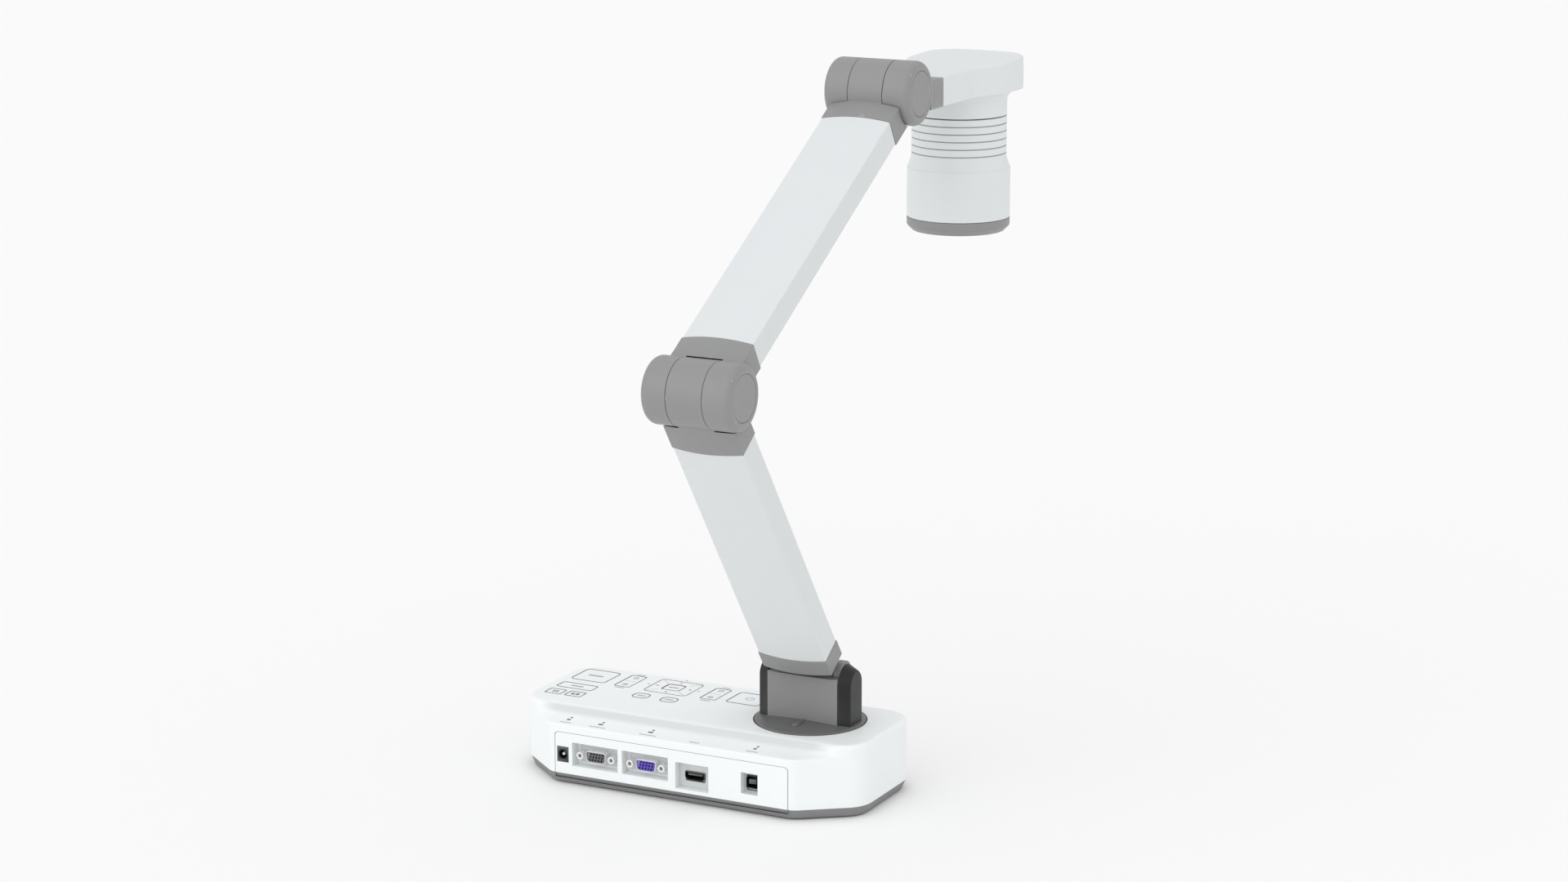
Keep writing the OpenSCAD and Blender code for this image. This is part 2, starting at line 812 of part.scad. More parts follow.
module turret_block() {
  color("gray") difference() {
    union() {
      translate([turret_x, 0, foot_z])
        linear_extrude(lower_hinge_z + block_top - foot_z) block_plan();
      at_lower_hinge() for (s = [-1, 1]) {
        along_x(s > 0 ? cheek_inner : -ear_inner, s > 0 ? ear_inner : -cheek_inner, cheek_r);
      }
    }
    at_lower_hinge() {
      along_x(-cheek_inner, cheek_inner, knuckle_slot_r);
      along_x(-ear_inner - 1, ear_inner + 1, lower_pin_r + 0.02);
      translate([-cheek_inner, -knuckle_slot_r, 0])
        cube([2 * cheek_inner, 2 * knuckle_slot_r, 20]);
    }
  }
}

module ear_cover_right() {
  color("dimgray") ear_at(1);
}

module ear_cover_left() {
  color("dimgray") ear_at(-1);
}

module swivel_collar() {
  color("silver") at_turret(40) difference() {
    cylinder(h = 3.4, r = 32);
    translate([0, 0, -1]) cylinder(h = 9, r = hub_r + 0.01);
  }
}

module lower_hinge_pin() {
  color("silver") at_lower_hinge() along_x(-ear_inner + 0.1, ear_inner - 0.1, lower_pin_r);
}

module lower_hinge_washers() {
  color("silver") at_lower_hinge() for (s = [-1, 1]) {
    difference() {
      along_x(s > 0 ? knuckle_half + 0.1 : -cheek_inner, s > 0 ? cheek_inner : -knuckle_half - 0.1, 5.2);
      along_x(-ear_inner, ear_inner, lower_pin_r + 0.02);
    }
  }
}

// ---- arm ----
// In an arm's frame +Y runs along the arm from its lower hinge and -Z is its outer face.

module lower_frame() {
  at_lower_hinge() rotate([lower_pitch, 0, 0]) children();
}

module upper_frame() {
  translate([turret_x, elbow_y, elbow_z]) rotate([upper_pitch, 0, 0]) children();
}

module arm_profile(off, inset) {
  intersection() {
    translate([-arm_w / 2 + inset, off - arm_t / 2 + inset])
      square([arm_w - 2 * inset, arm_t + arm_crown]);
    translate([0, off + arm_t / 2 + arm_crown - crown_r]) circle(crown_r - inset, $fn = 180);
  }
}

module arm_prism(off, inset, from, to) {
  translate([0, from, 0]) rotate([-90, 0, 0]) linear_extrude(to - from) arm_profile(off, inset);
}

module arm_sleeve(off, from, to) {
  difference() {
    arm_prism(off, sleeve_inset, from, to);
    arm_prism(off, sleeve_inset + sleeve_wall, from - 1, to + 1);
  }
}

module spine_box(off, from, to, grow) {
  translate([-spine_w / 2 - grow, from, -off - spine_h / 2 - grow])
    cube([spine_w + 2 * grow, to - from, spine_h + 2 * grow]);
}

module arm_spine(off, from, to) {
  difference() {
    spine_box(off, from, to, 0);
    spine_box(off, from - 1, to + 1, -spine_wall);
  }
}

module barrel_middle() {
  difference() {
    along_x(-mid_half, mid_half, barrel_r);
    along_x(-mid_half - 1, mid_half + 1, pin_bore_r);
  }
}

// One outer segment of a hinge barrel, from the seam to its rounded end
module barrel_outer(s) {
  len = barrel_half - outer_from;
  rotate([0, s * 90, 0]) translate([0, 0, outer_from]) rotate_extrude() difference() {
    union() {
      square([barrel_r - barrel_round, len]);
      square([barrel_r, len - barrel_round]);
      translate([barrel_r - barrel_round, len - barrel_round]) circle(barrel_round);
    }
    square([pin_bore_r - 0.03, len]);
    translate([0, stack_from - outer_from]) square([stack_r + 0.7, len]);
    translate([0, len - disc_cap_t]) square([disc_cap_r + 0.2, len]);
  }
}

// Room that the middle segment of a barrel needs, cut out of the yoke around it
module middle_slot(r) {
  along_x(-outer_from, outer_from, r);
}

// Room that the two outer segments need, cut out of the cap that carries the middle one
module outer_slots(r) {
  for (s = [-1, 1]) {
    along_x(s > 0 ? mid_half + 0.2 : -arm_w, s > 0 ? arm_w : -mid_half - 0.2, r);
  }
}

module end_discs() {
  for (s = [-1, 1]) {
    x0 = s > 0 ? barrel_half - disc_cap_t + 0.05 : -barrel_half;
    along_x(x0, x0 + disc_cap_t - 0.05, disc_cap_r);
  }
}

module hinge_pin() {
  along_x(-29.5, 29.5, hinge_pin_r);
}

module hinge_stack() {
  for (s = [-1, 1]) {
    difference() {
      union() {
        along_x(s > 0 ? stack_from : -nut_from, s > 0 ? nut_from : -stack_from, stack_r);
        translate([s > 0 ? nut_from : -nut_to, 0, 0]) rotate([0, 90, 0])
          cylinder(h = nut_to - nut_from, r = 7.5, $fn = 6);
      }
      along_x(-barrel_half, barrel_half, hinge_pin_r + 0.02);
    }
  }
}

module lower_foot_cap() {
  color("gray") lower_frame() difference() {
    union() {
      arm_prism(lower_off, 0, lower_cap_from, lower_sleeve_from);
      arm_prism(lower_off, plug_inset, lower_sleeve_from, lower_sleeve_from + plug_len);
      along_x(-knuckle_half, knuckle_half, knuckle_r);
      translate([-knuckle_half, 0, -4.5]) cube([2 * knuckle_half, lower_cap_from + 1, 9]);
    }
    along_x(-knuckle_half - 1, knuckle_half + 1, lower_pin_r + 0.05);
    spine_box(lower_off, lower_sleeve_from - spine_end_in, lower_sleeve_from + 30, 0.1);
  }
}

module lower_sleeve() {
  color("whitesmoke") lower_frame() arm_sleeve(lower_off, lower_sleeve_from, lower_sleeve_to);
}

module lower_spine() {
  color("silver") lower_frame()
    arm_spine(lower_off, lower_sleeve_from - spine_end_in, lower_sleeve_to + spine_end_in);
}

module lower_elbow_cap() {
  color("gray") lower_frame() difference() {
    union() {
      difference() {
        arm_prism(lower_off, 0, lower_sleeve_to, lower_arm - 12);
        translate([0, lower_arm, 0]) outer_slots(slit_r);
      }
      arm_prism(lower_off, plug_inset, lower_sleeve_to - plug_len, lower_sleeve_to);
      translate([0, lower_arm, 0]) along_x(-mid_half, mid_half, barrel_r);
    }
    translate([0, lower_arm, 0]) along_x(-mid_half - 1, mid_half + 1, pin_bore_r);
    spine_box(lower_off, lower_sleeve_to - 30, lower_sleeve_to + spine_end_in, 0.1);
  }
}

module upper_elbow_yoke() {
  color("gray") upper_frame() difference() {
    union() {
      difference() {
        arm_prism(upper_off, 0, 8, upper_sleeve_from);
        middle_slot(slit_r);
        along_x(-arm_w, arm_w, barrel_r - 6);
      }
      arm_prism(upper_off, plug_inset, upper_sleeve_from, upper_sleeve_from + plug_len);
      barrel_outer(1);
      barrel_outer(-1);
    }
    spine_box(upper_off, upper_sleeve_from - spine_end_in, upper_sleeve_from + 30, 0.1);
  }
}

module elbow_discs() {
  color("gray") upper_frame() end_discs();
}

module elbow_pin() {
  color("silver") upper_frame() hinge_pin();
}

module elbow_washers() {
  color("silver") upper_frame() hinge_stack();
}

module upper_sleeve() {
  color("whitesmoke") upper_frame() arm_sleeve(upper_off, upper_sleeve_from, upper_sleeve_to);
}

module upper_spine() {
  color("silver") upper_frame()
    arm_spine(upper_off, upper_sleeve_from - spine_end_in, upper_sleeve_to + spine_end_in);
}

module upper_head_cap() {
  color("gray") upper_frame() difference() {
    union() {
      difference() {
        arm_prism(upper_off, 0, upper_sleeve_to, upper_arm - 10);
        translate([0, upper_arm, -head_hinge_out]) outer_slots(slit_r);
      }
      arm_prism(upper_off, plug_inset, upper_sleeve_to - plug_len, upper_sleeve_to);
      translate([0, upper_arm, -head_hinge_out]) along_x(-mid_half, mid_half, barrel_r);
    }
    translate([0, upper_arm, -head_hinge_out]) along_x(-mid_half - 1, mid_half + 1, pin_bore_r);
    spine_box(upper_off, upper_sleeve_to - 30, upper_sleeve_to + spine_end_in, 0.1);
  }
}

// ---- head ----

module head_frame() {
  translate([turret_x, head_y, head_z]) children();
}

module lens_frame() {
  head_frame() translate([0, lens_y, 0]) children();
}

module head_bracket() {
  color("gray") head_frame() difference() {
    union() {
      barrel_outer(1);
      barrel_outer(-1);
      for (s = [-1, 1]) {
        difference() {
          translate([s > 0 ? outer_from : -24, box_back - 1, -14]) cube([24 - outer_from, 24, 18]);
          along_x(-barrel_half, barrel_half, barrel_r - 6);
        }
      }
      translate([-box_half, box_front, box_low])
        cube([2 * box_half, box_back - box_front, box_high - box_low]);
      translate([-tongue_half, box_front - 30, -11]) cube([2 * tongue_half, 31, 13]);
    }
    translate([-9, box_front - 31, -6]) cube([18, 60, 6]);
  }
}

module head_discs() {
  color("gray") head_frame() end_discs();
}

module head_pin() {
  color("silver") head_frame() hinge_pin();
}

module head_washers() {
  color("silver") head_frame() hinge_stack();
}

// Pear-shaped cover: a straight neck from the bracket that swells into a rounded square
module cover_solid(g) {
  hull() {
    translate([-cover_neck_half + g, box_front - 1 - lens_y, cover_low + g])
      cube([2 * (cover_neck_half - g), 1, box_high + 0.4 - cover_low - 2 * g]);
    translate([-cover_neck_half - 1 + g, 40, cover_low + g])
      cube([2 * (cover_neck_half + 1 - g), 1, box_high + 2.6 - cover_low - 2 * g]);
    translate([0, 0, cover_low + g]) cylinder(h = cover_high - cover_low - 2 * g, r = 36 - g, $fn = 48);
  }
  hull() {
    translate([0, 12, cover_low + g]) cylinder(h = cover_high - 0.6 - cover_low - 2 * g, r = 32 - g, $fn = 48);
    for (s = [-1, 1]) {
      translate([s * 26, -10, cover_low + g])
        cylinder(h = cover_high - cover_low - 2 * g, r = 15.4 - g, $fn = 32);
      translate([s * 21, -26, cover_low + g])
        cylinder(h = cover_high - cover_low - 2 * g, r = 17 - g, $fn = 32);
    }
    translate([0, -28, cover_low + g])
      cylinder(h = cover_high - cover_low - 2 * g, r = 17.5 - g, $fn = 32);
  }
}

module head_cover() {
  color("whitesmoke") lens_frame() {
    difference() {
      cover_solid(0);
      cover_solid(cover_wall);
      translate([-tongue_half - 0.1, 20, -11.1]) cube([2 * tongue_half + 0.2, 80, 13.2]);
    }
    rotate_extrude() translate([0, cover_low]) polygon([
      [spigot_r - 4, cover_wall], [spigot_r, cover_wall], [spigot_r, 0],
      [38, 0], [36.6, -1.6], [35.5, -3.8], [neck_r, -skirt_fillet_h], [neck_r, -skirt_h],
      [spigot_r, -skirt_h], [spigot_r, -spigot_len], [spigot_r - 4, -spigot_len]
    ]);
  }
}

module camera_retainer() {
  color("silver") lens_frame() translate([0, 0, cover_low - spigot_len - 2.4]) difference() {
    cylinder(h = 2.4, r = 31.6);
    translate([0, 0, -1]) cylinder(h = 9, r = 24);
  }
}

module camera_barrel() {
  lip = neck_top - 7.6;
  color("whitesmoke") lens_frame() rotate_extrude() difference() {
    polygon([
      [32.5, ring_top], [camera_r, ring_top], [camera_r, flare_to], [neck_r, flare_from],
      [neck_r, neck_top], [spigot_r + 0.06, neck_top], [spigot_r + 0.06, lip], [32.5, lip],
      [32.5, flare_to - 2], [camera_r - 2.4, flare_to - 5], [camera_r - 2.4, ring_top + 5],
      [32.5, ring_top + 5]
    ]);
    for (k = [0 : grooves - 1]) {
      translate([neck_r - groove_depth, groove_z0 + k * groove_pitch - groove_w / 2])
        square([2, groove_w]);
    }
  }
}

module lens_ring() {
  color("gray") lens_frame() rotate_extrude() difference() {
    union() {
      polygon([[0, ring_low], [camera_r - 4, ring_low], [camera_r, ring_low + 4],
               [camera_r, ring_top], [0, ring_top]]);
      translate([0, ring_top]) square([32.3, 3]);
    }
    translate([0, ring_low + 5]) square([30, 30]);
    translate([0, ring_low - 1]) square([lens_hole_r, 30]);
    polygon([[0, ring_low - 1], [27, ring_low - 1], [26, ring_low + 2.5], [0, ring_low + 2.5]]);
  }
}

module lens_tube() {
  color("black") lens_frame() difference() {
    union() {
      translate([0, 0, ring_low + 3]) cylinder(h = 38, r = lens_hole_r - 0.2);
      translate([0, 0, ring_low + 5]) cylinder(h = 2, r = lens_hole_r + 4);
    }
    translate([0, 0, ring_low + 2]) cylinder(h = 8, r = 13);
    translate([0, 0, ring_low + 2]) cylinder(h = 30, r = 9);
  }
}

module lens_glass() {
  color("lightblue") lens_frame() translate([0, 0, ring_low + 5.6]) intersection() {
    cylinder(h = 4.4, r = 12.9);
    translate([0, 0, 30]) sphere(30, $fn = 96);
  }
}

module camera_board() {
  color("seagreen") lens_frame() {
    translate([0, 0, ring_low + 41.1]) cylinder(h = 1.5, r = 30);
    translate([-12, -12, ring_low + 42.6]) cube([24, 24, 3]);
  }
}

base_shell();
port_panel();
base_tray();
rubber_feet();
tray_screws();
ballast_plate();
main_board();
dc_jack();
dc_pin();
vga_shells();
vga_insert_grey();
vga_insert_blue();
jackscrews();
hdmi_shell();
usb_shell();
socket_tongues();
key_frame();
key_mat();
key_large();
key_wide();
key_small_1();
key_small_2();
key_small_3();
key_small_4();
key_enter();
key_power();
rocker_key_1();
rocker_key_2();
nav_pivot();
nav_ring();
turret_bearing();
turret_disc();
turret_block();
ear_cover_right();
ear_cover_left();
swivel_collar();
lower_hinge_pin();
lower_hinge_washers();
lower_foot_cap();
lower_sleeve();
lower_spine();
lower_elbow_cap();
upper_elbow_yoke();
elbow_discs();
elbow_pin();
elbow_washers();
upper_sleeve();
upper_spine();
upper_head_cap();
head_bracket();
head_discs();
head_pin();
head_washers();
head_cover();
camera_retainer();
camera_barrel();
lens_ring();
lens_tube();
lens_glass();
camera_board();
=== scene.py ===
import bmesh
import bpy
import json
import math
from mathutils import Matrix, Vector


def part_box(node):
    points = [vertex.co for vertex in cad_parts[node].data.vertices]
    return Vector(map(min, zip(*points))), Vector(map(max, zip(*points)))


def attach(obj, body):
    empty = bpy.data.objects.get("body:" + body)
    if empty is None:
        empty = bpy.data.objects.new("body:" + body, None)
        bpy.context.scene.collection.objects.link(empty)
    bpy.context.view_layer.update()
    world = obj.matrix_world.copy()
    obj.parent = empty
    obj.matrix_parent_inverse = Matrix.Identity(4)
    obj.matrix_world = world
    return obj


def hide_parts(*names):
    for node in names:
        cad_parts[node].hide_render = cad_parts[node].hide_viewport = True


# Looks of the desktop document camera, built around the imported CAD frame.
# Shapes are worked out in millimetres and become metres when a mesh is made.

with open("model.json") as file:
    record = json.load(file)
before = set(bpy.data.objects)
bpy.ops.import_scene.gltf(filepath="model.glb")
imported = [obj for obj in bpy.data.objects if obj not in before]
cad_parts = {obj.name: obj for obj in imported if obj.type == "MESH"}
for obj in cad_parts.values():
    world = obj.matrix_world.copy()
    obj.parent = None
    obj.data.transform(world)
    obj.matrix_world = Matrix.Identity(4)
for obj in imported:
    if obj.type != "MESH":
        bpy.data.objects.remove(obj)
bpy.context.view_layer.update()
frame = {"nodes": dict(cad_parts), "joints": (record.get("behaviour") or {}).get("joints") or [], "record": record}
MM = 0.001
RECORD = frame["record"]
BODY_OF = {n: body for body, members in RECORD["behaviour"]["bodies"].items() for n in members}
SLOT_OF = {s["node"]: s["material_slot"] for s in RECORD["subparts"]}
JOINT = {j["name"]: j for j in frame["joints"]}


def joint_at(name):
    return Vector(JOINT[name]["pos_m"]) / MM


def box_mm(node):
    low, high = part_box(node)
    return low / MM, high / MM


TURRET = joint_at("turret_swivel")
LOWER_HINGE = joint_at("lower_arm_tilt")
ELBOW = joint_at("elbow_fold")
HEAD_HINGE = joint_at("head_tilt")
LENS = joint_at("camera_turn")
TURRET_AXIS = (TURRET.x, TURRET.y, 0)
LENS_AXIS = (LENS.x, LENS.y, 0)


# ---- camera, light and floor ----

VIEW_TARGET = Vector((-51.3, -4.5, 247.6)) * MM
VIEW_AZIMUTH = math.radians(26.99)
VIEW_PITCH = math.radians(12.97)
VIEW_DISTANCE = 2.48
LENS_MM = 82.68
AMBIENT = 0.672
# Broad lights of the dome: direction, how sharply it fades away from there, strength.
LIGHTS = (
    ((0, 0, 1), 1.0, 0.30),
    ((0.25, 0.85, 0.38), 4.0, 0.93),
    ((-1.0, 0.1, 0.3), 3.0, 0.27),
)
FLOOR_SIZE = 14


def view_direction(azimuth, pitch):
    """Unit vector from the object towards a viewer behind it, turned by azimuth to the -X side."""
    flat = math.cos(pitch)
    return Vector((-math.sin(azimuth) * flat, math.cos(azimuth) * flat, math.sin(pitch)))


def aim(obj, place, target):
    obj.location = place
    obj.rotation_euler = (target - place).to_track_quat("-Z", "Y").to_euler()


def add_camera():
    data = bpy.data.cameras.new("view")
    data.lens = LENS_MM
    data.sensor_width = 36
    data.clip_end = 60
    cam = bpy.data.objects.new("view", data)
    bpy.context.scene.collection.objects.link(cam)
    place = VIEW_TARGET + VIEW_DISTANCE * view_direction(VIEW_AZIMUTH, VIEW_PITCH)
    aim(cam, place, VIEW_TARGET)
    bpy.context.scene.camera = cam


def plug(tree, socket, value):
    """Links value to an input socket, or sets it when value is a number or a colour."""
    if isinstance(value, bpy.types.NodeSocket):
        tree.links.new(value, socket)
    else:
        socket.default_value = value


def add_math(tree, operation, first, second):
    node = tree.nodes.new("ShaderNodeMath")
    node.operation = operation
    plug(tree, node.inputs[0], first)
    plug(tree, node.inputs[1], second)
    return node.outputs["Value"]


def add_world():
    """A soft studio dome: brighter overhead, with large soft lights behind the object and at its
    -X side."""
    world = bpy.data.worlds.new("studio")
    world.use_nodes = True
    tree = world.node_tree
    background = tree.nodes["Background"]
    background.inputs["Color"].default_value = (0.99, 0.993, 1.0, 1)
    coords = tree.nodes.new("ShaderNodeTexCoord")
    total = AMBIENT
    for direction, power, strength in LIGHTS:
        dot = tree.nodes.new("ShaderNodeVectorMath")
        dot.operation = "DOT_PRODUCT"
        plug(tree, dot.inputs[0], coords.outputs["Generated"])
        plug(tree, dot.inputs[1], Vector(direction).normalized())
        facing = add_math(tree, "MAXIMUM", dot.outputs["Value"], 0.0)
        lobe = add_math(tree, "MULTIPLY", add_math(tree, "POWER", facing, power), strength)
        total = add_math(tree, "ADD", total, lobe)
    plug(tree, background.inputs["Strength"], total)
    bpy.context.scene.world = world


# ---- materials ----

NOISE_SPAN = (0.3, 0.7)
GRAIN_DETAIL = 3
CLOUD_MM, FINE_CLOUD_MM = 28, 4
WORN_AT = (0.53, 0.64)
WORN_SHARE = 0.35


def new_material(name):
    material = bpy.data.materials.new(name)
    material.use_nodes = True
    tree = material.node_tree
    return material, tree, tree.nodes["Principled BSDF"]


def add_noise(tree, coords, scale, detail):
    noise = tree.nodes.new("ShaderNodeTexNoise")
    noise.inputs["Scale"].default_value = scale
    noise.inputs["Detail"].default_value = detail
    plug(tree, noise.inputs["Vector"], coords.outputs["Object"])
    return noise.outputs["Fac"]


def add_range(tree, value, start, end, low=0.0, high=1.0, interpolation="LINEAR"):
    """Maps value from start..end to low..high."""
    node = tree.nodes.new("ShaderNodeMapRange")
    node.interpolation_type = interpolation
    for name, number in (("From Min", start), ("From Max", end), ("To Min", low), ("To Max", high)):
        node.inputs[name].default_value = number
    plug(tree, node.inputs["Value"], value)
    return node.outputs["Result"]


def add_mix(tree, factor, first, second, blend="MIX"):
    node = tree.nodes.new("ShaderNodeMix")
    node.data_type = "RGBA"
    node.blend_type = blend
    for name, value in (("Factor", factor), ("A", first), ("B", second)):
        plug(tree, node.inputs[name], value)
    return node.outputs["Result"]


def scaled(colour, k):
    return tuple(min(1.0, c * k) for c in colour) + (1,)


def moulded(name, colour, roughness, grain_mm=0.5, depth_mm=0.012, mottle=0.025, metallic=0.0, **extra):
    """Moulded plastic, rubber or metal: fine grain in the bump, cloudy changes in colour and gloss,
    and edges rubbed a little lighter."""
    material, tree, shader = new_material(name)
    coords = tree.nodes.new("ShaderNodeTexCoord")
    grain = add_noise(tree, coords, 1 / (grain_mm * MM), GRAIN_DETAIL)
    cloud = add_noise(tree, coords, 1 / (CLOUD_MM * MM), 4)
    fine_cloud = add_noise(tree, coords, 1 / (FINE_CLOUD_MM * MM), 5)

    mottled = add_mix(tree, cloud, scaled(colour, 1 - mottle), scaled(colour, 1 + mottle))
    geometry = tree.nodes.new("ShaderNodeNewGeometry")
    worn = add_range(tree, geometry.outputs["Pointiness"], *WORN_AT, 0.0, WORN_SHARE)
    rubbed = scaled([c + 0.35 * (1 - c) for c in colour], 1)
    plug(tree, shader.inputs["Base Color"], add_mix(tree, worn, mottled, rubbed))
    gloss = add_range(tree, fine_cloud, *NOISE_SPAN, roughness * 0.9, roughness * 1.12)
    plug(tree, shader.inputs["Roughness"], gloss)
    bump = tree.nodes.new("ShaderNodeBump")
    bump.inputs["Strength"].default_value = 0.6
    bump.inputs["Distance"].default_value = depth_mm * MM
    plug(tree, bump.inputs["Height"], grain)
    plug(tree, shader.inputs["Normal"], bump.outputs["Normal"])
    shader.inputs["Metallic"].default_value = metallic
    for key, value in extra.items():
        shader.inputs[key.replace("_", " ")].default_value = value
    return material


def brushed(name, colour, roughness, metallic=1.0):
    """Plated or drawn metal with fine scratches along X."""
    material = moulded(name, colour, roughness, grain_mm=0.3, depth_mm=0.004, mottle=0.04,
                       metallic=metallic)
    tree = material.node_tree
    coords = next(n for n in tree.nodes if n.type == "TEX_COORD")
    grain = next(n for n in tree.nodes
                 if n.type == "TEX_NOISE" and n.inputs["Detail"].default_value == GRAIN_DETAIL)
    stretch = tree.nodes.new("ShaderNodeMapping")
    stretch.inputs["Scale"].default_value = (0.05, 1, 1)
    plug(tree, stretch.inputs["Vector"], coords.outputs["Object"])
    plug(tree, grain.inputs["Vector"], stretch.outputs["Vector"])
    return material


def coated_glass(name):
    material, tree, shader = new_material(name)
    coords = tree.nodes.new("ShaderNodeTexCoord")
    haze = add_range(tree, add_noise(tree, coords, 1 / (3 * MM), 4), *NOISE_SPAN, 0.02, 0.05)
    for key, value in (("Roughness", haze), ("Base Color", (0.62, 0.70, 0.92, 1)),
                       ("Transmission Weight", 1.0), ("IOR", 1.52), ("Coat Weight", 0.6),
                       ("Coat Tint", (0.55, 0.45, 0.95, 1))):
        plug(tree, shader.inputs[key], value)
    return material


WHITE = (0.865, 0.888, 0.892)
# The arm's white is the casing's white made darker: painted shade for the dimmer light on the arm.
ARM_SHADED_WHITE = (0.69, 0.715, 0.722)
# The head's white is the casing's white made darker: painted shade for the dimmer light on the head.
HEAD_SHADED_WHITE = (0.72, 0.748, 0.753)
GREY = (0.262, 0.262, 0.262)
MATERIALS = {
    "casing_white": moulded("casing_white", WHITE, 0.46, mottle=0.012),
    "key_white": moulded("key_white", (0.865, 0.885, 0.89), 0.36, depth_mm=0.006, mottle=0.01),
    "trim_grey": moulded("trim_grey", GREY, 0.42, grain_mm=0.6, depth_mm=0.014),
    "tray_grey": moulded("tray_grey", (0.225, 0.227, 0.226), 0.55, grain_mm=0.8, depth_mm=0.03),
    "ear_charcoal": moulded("ear_charcoal", (0.009, 0.009, 0.0093), 0.38, depth_mm=0.006,
                            Specular_IOR_Level=0.36),
    "black_plastic": moulded("black_plastic", (0.012, 0.012, 0.013), 0.38),
    "socket_grey": moulded("socket_grey", (0.085, 0.088, 0.090), 0.5, grain_mm=0.3),
    "socket_blue": moulded("socket_blue", (0.085, 0.045, 0.40), 0.42, grain_mm=0.3),
    "frame_grey": moulded("frame_grey", (0.52, 0.53, 0.53), 0.55),
    "rubber_black": moulded("rubber_black", (0.02, 0.02, 0.021), 0.82, grain_mm=0.9, depth_mm=0.05),
    "mat_silicone": moulded("mat_silicone", (0.22, 0.24, 0.25), 0.7, depth_mm=0.02),
    "bright_metal": brushed("bright_metal", (0.84, 0.84, 0.83), 0.3, 0.45),
    "steel": brushed("steel", (0.56, 0.57, 0.58), 0.34),
    "aluminium": brushed("aluminium", (0.72, 0.73, 0.74), 0.38),
    "ballast": moulded("ballast", (0.10, 0.10, 0.11), 0.62, grain_mm=1.6, depth_mm=0.12, mottle=0.12),
    "board_green": moulded("board_green", (0.02, 0.16, 0.07), 0.4, depth_mm=0.01, mottle=0.1),
    "lens_glass": coated_glass("lens_glass"),
}
# Darker copy of the casing's white for the arm sleeves: painted shade.
SLEEVE = moulded("arm_white_painted_shade", ARM_SHADED_WHITE, 0.46, mottle=0.012)
# Darker copy of the casing's white for the head cover and the barrel: painted shade.
HEAD_SKIN = moulded("head_white_painted_shade", HEAD_SHADED_WHITE, 0.44, mottle=0.012)
BAND_GREY = moulded("band_grey", (0.36, 0.37, 0.375), 0.5, depth_mm=0.01)
# Darker copy of the trim grey for the turret's disc and nub: painted shade.
DISC_SHADED_GREY = moulded("disc_grey_painted_shade", (0.135, 0.135, 0.135), 0.4, grain_mm=0.6, depth_mm=0.014,
                    Specular_IOR_Level=0.36)
# Darker copy of the trim grey for the turret block: painted shade.
BLOCK_SHADED_GREY = moulded("block_grey_painted_shade", (0.225, 0.225, 0.225), 0.42, grain_mm=0.6, depth_mm=0.014)
INK = moulded("ink_grey", (0.09, 0.095, 0.10), 0.5, depth_mm=0.002)
# Dark sheet put into gaps in place of their shade: painted shade.
GAP_SHADE_SHEET = moulded("gap_shade", (0.075, 0.077, 0.078), 0.7, depth_mm=0.01)
FLANGE = moulded("flange_satin", (0.60, 0.62, 0.62), 0.45, depth_mm=0.008, metallic=0.2)
INK_BLUE = moulded("ink_blue", (0.16, 0.34, 0.62), 0.5, depth_mm=0.002)


# ---- meshes ----


def add_object(name, bm):
    mesh = bpy.data.meshes.new(name)
    bmesh.ops.recalc_face_normals(bm, faces=bm.faces)
    bm.to_mesh(mesh)
    bm.free()
    obj = bpy.data.objects.new(name, mesh)
    bpy.context.scene.collection.objects.link(obj)
    return obj


def shade(obj, sharp_deg):
    """Smooth faces with crisp edges where they turn by more than sharp_deg, weighted by face area."""
    bm = bmesh.new()
    bm.from_mesh(obj.data)
    limit = math.radians(sharp_deg)
    for face in bm.faces:
        face.smooth = True
    for edge in bm.edges:
        edge.smooth = len(edge.link_faces) == 2 and edge.calc_face_angle(0) < limit
    bm.to_mesh(obj.data)
    bm.free()
    weighted = obj.modifiers.new("normals", "WEIGHTED_NORMAL")
    weighted.keep_sharp = True
    weighted.weight = 60


def place(obj, body, slot, *nodes, material=None):
    """Gives a piece its material and its body, and hides the CAD nodes that it stands for."""
    obj.data.materials.clear()
    obj.data.materials.append(material or MATERIALS[slot])
    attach(obj, body)
    if nodes:
        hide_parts(*nodes)


def finished(obj, *where, sharp_deg=34, **look):
    """Shades a piece and places it."""
    shade(obj, sharp_deg)
    place(obj, *where, **look)


def piece(name, bm, *where, **look):
    """A finished piece made from a mesh."""
    finished(add_object(name, bm), *where, **look)


def loft(rings, closed=False):
    """Quads between rings of points in millimetres. closed joins the last ring to the first."""
    bm = bmesh.new()
    loops = [[bm.verts.new([c * MM for c in p]) for p in ring] for ring in rings]
    pairs = list(zip(loops, loops[1:])) + ([(loops[-1], loops[0])] if closed else [])
    count = len(loops[0])
    for a, b in pairs:
        for i in range(count):
            j = (i + 1) % count
            bm.faces.new((a[i], a[j], b[j], b[i]))
    if not closed:
        bm.faces.new(loops[0])
        bm.faces.new(loops[-1])
    return bm


def arc(cx, cy, r, start, end, steps):
    """Points on an arc; the angles are in degrees."""
    return [
        (cx + r * math.cos(math.radians(start + (end - start) * i / steps)),
         cy + r * math.sin(math.radians(start + (end - start) * i / steps)))
        for i in range(steps + 1)
    ]


def circle(cx, cy, r, sides):
    return arc(cx, cy, r, 0, 360 - 360 / sides, sides - 1)


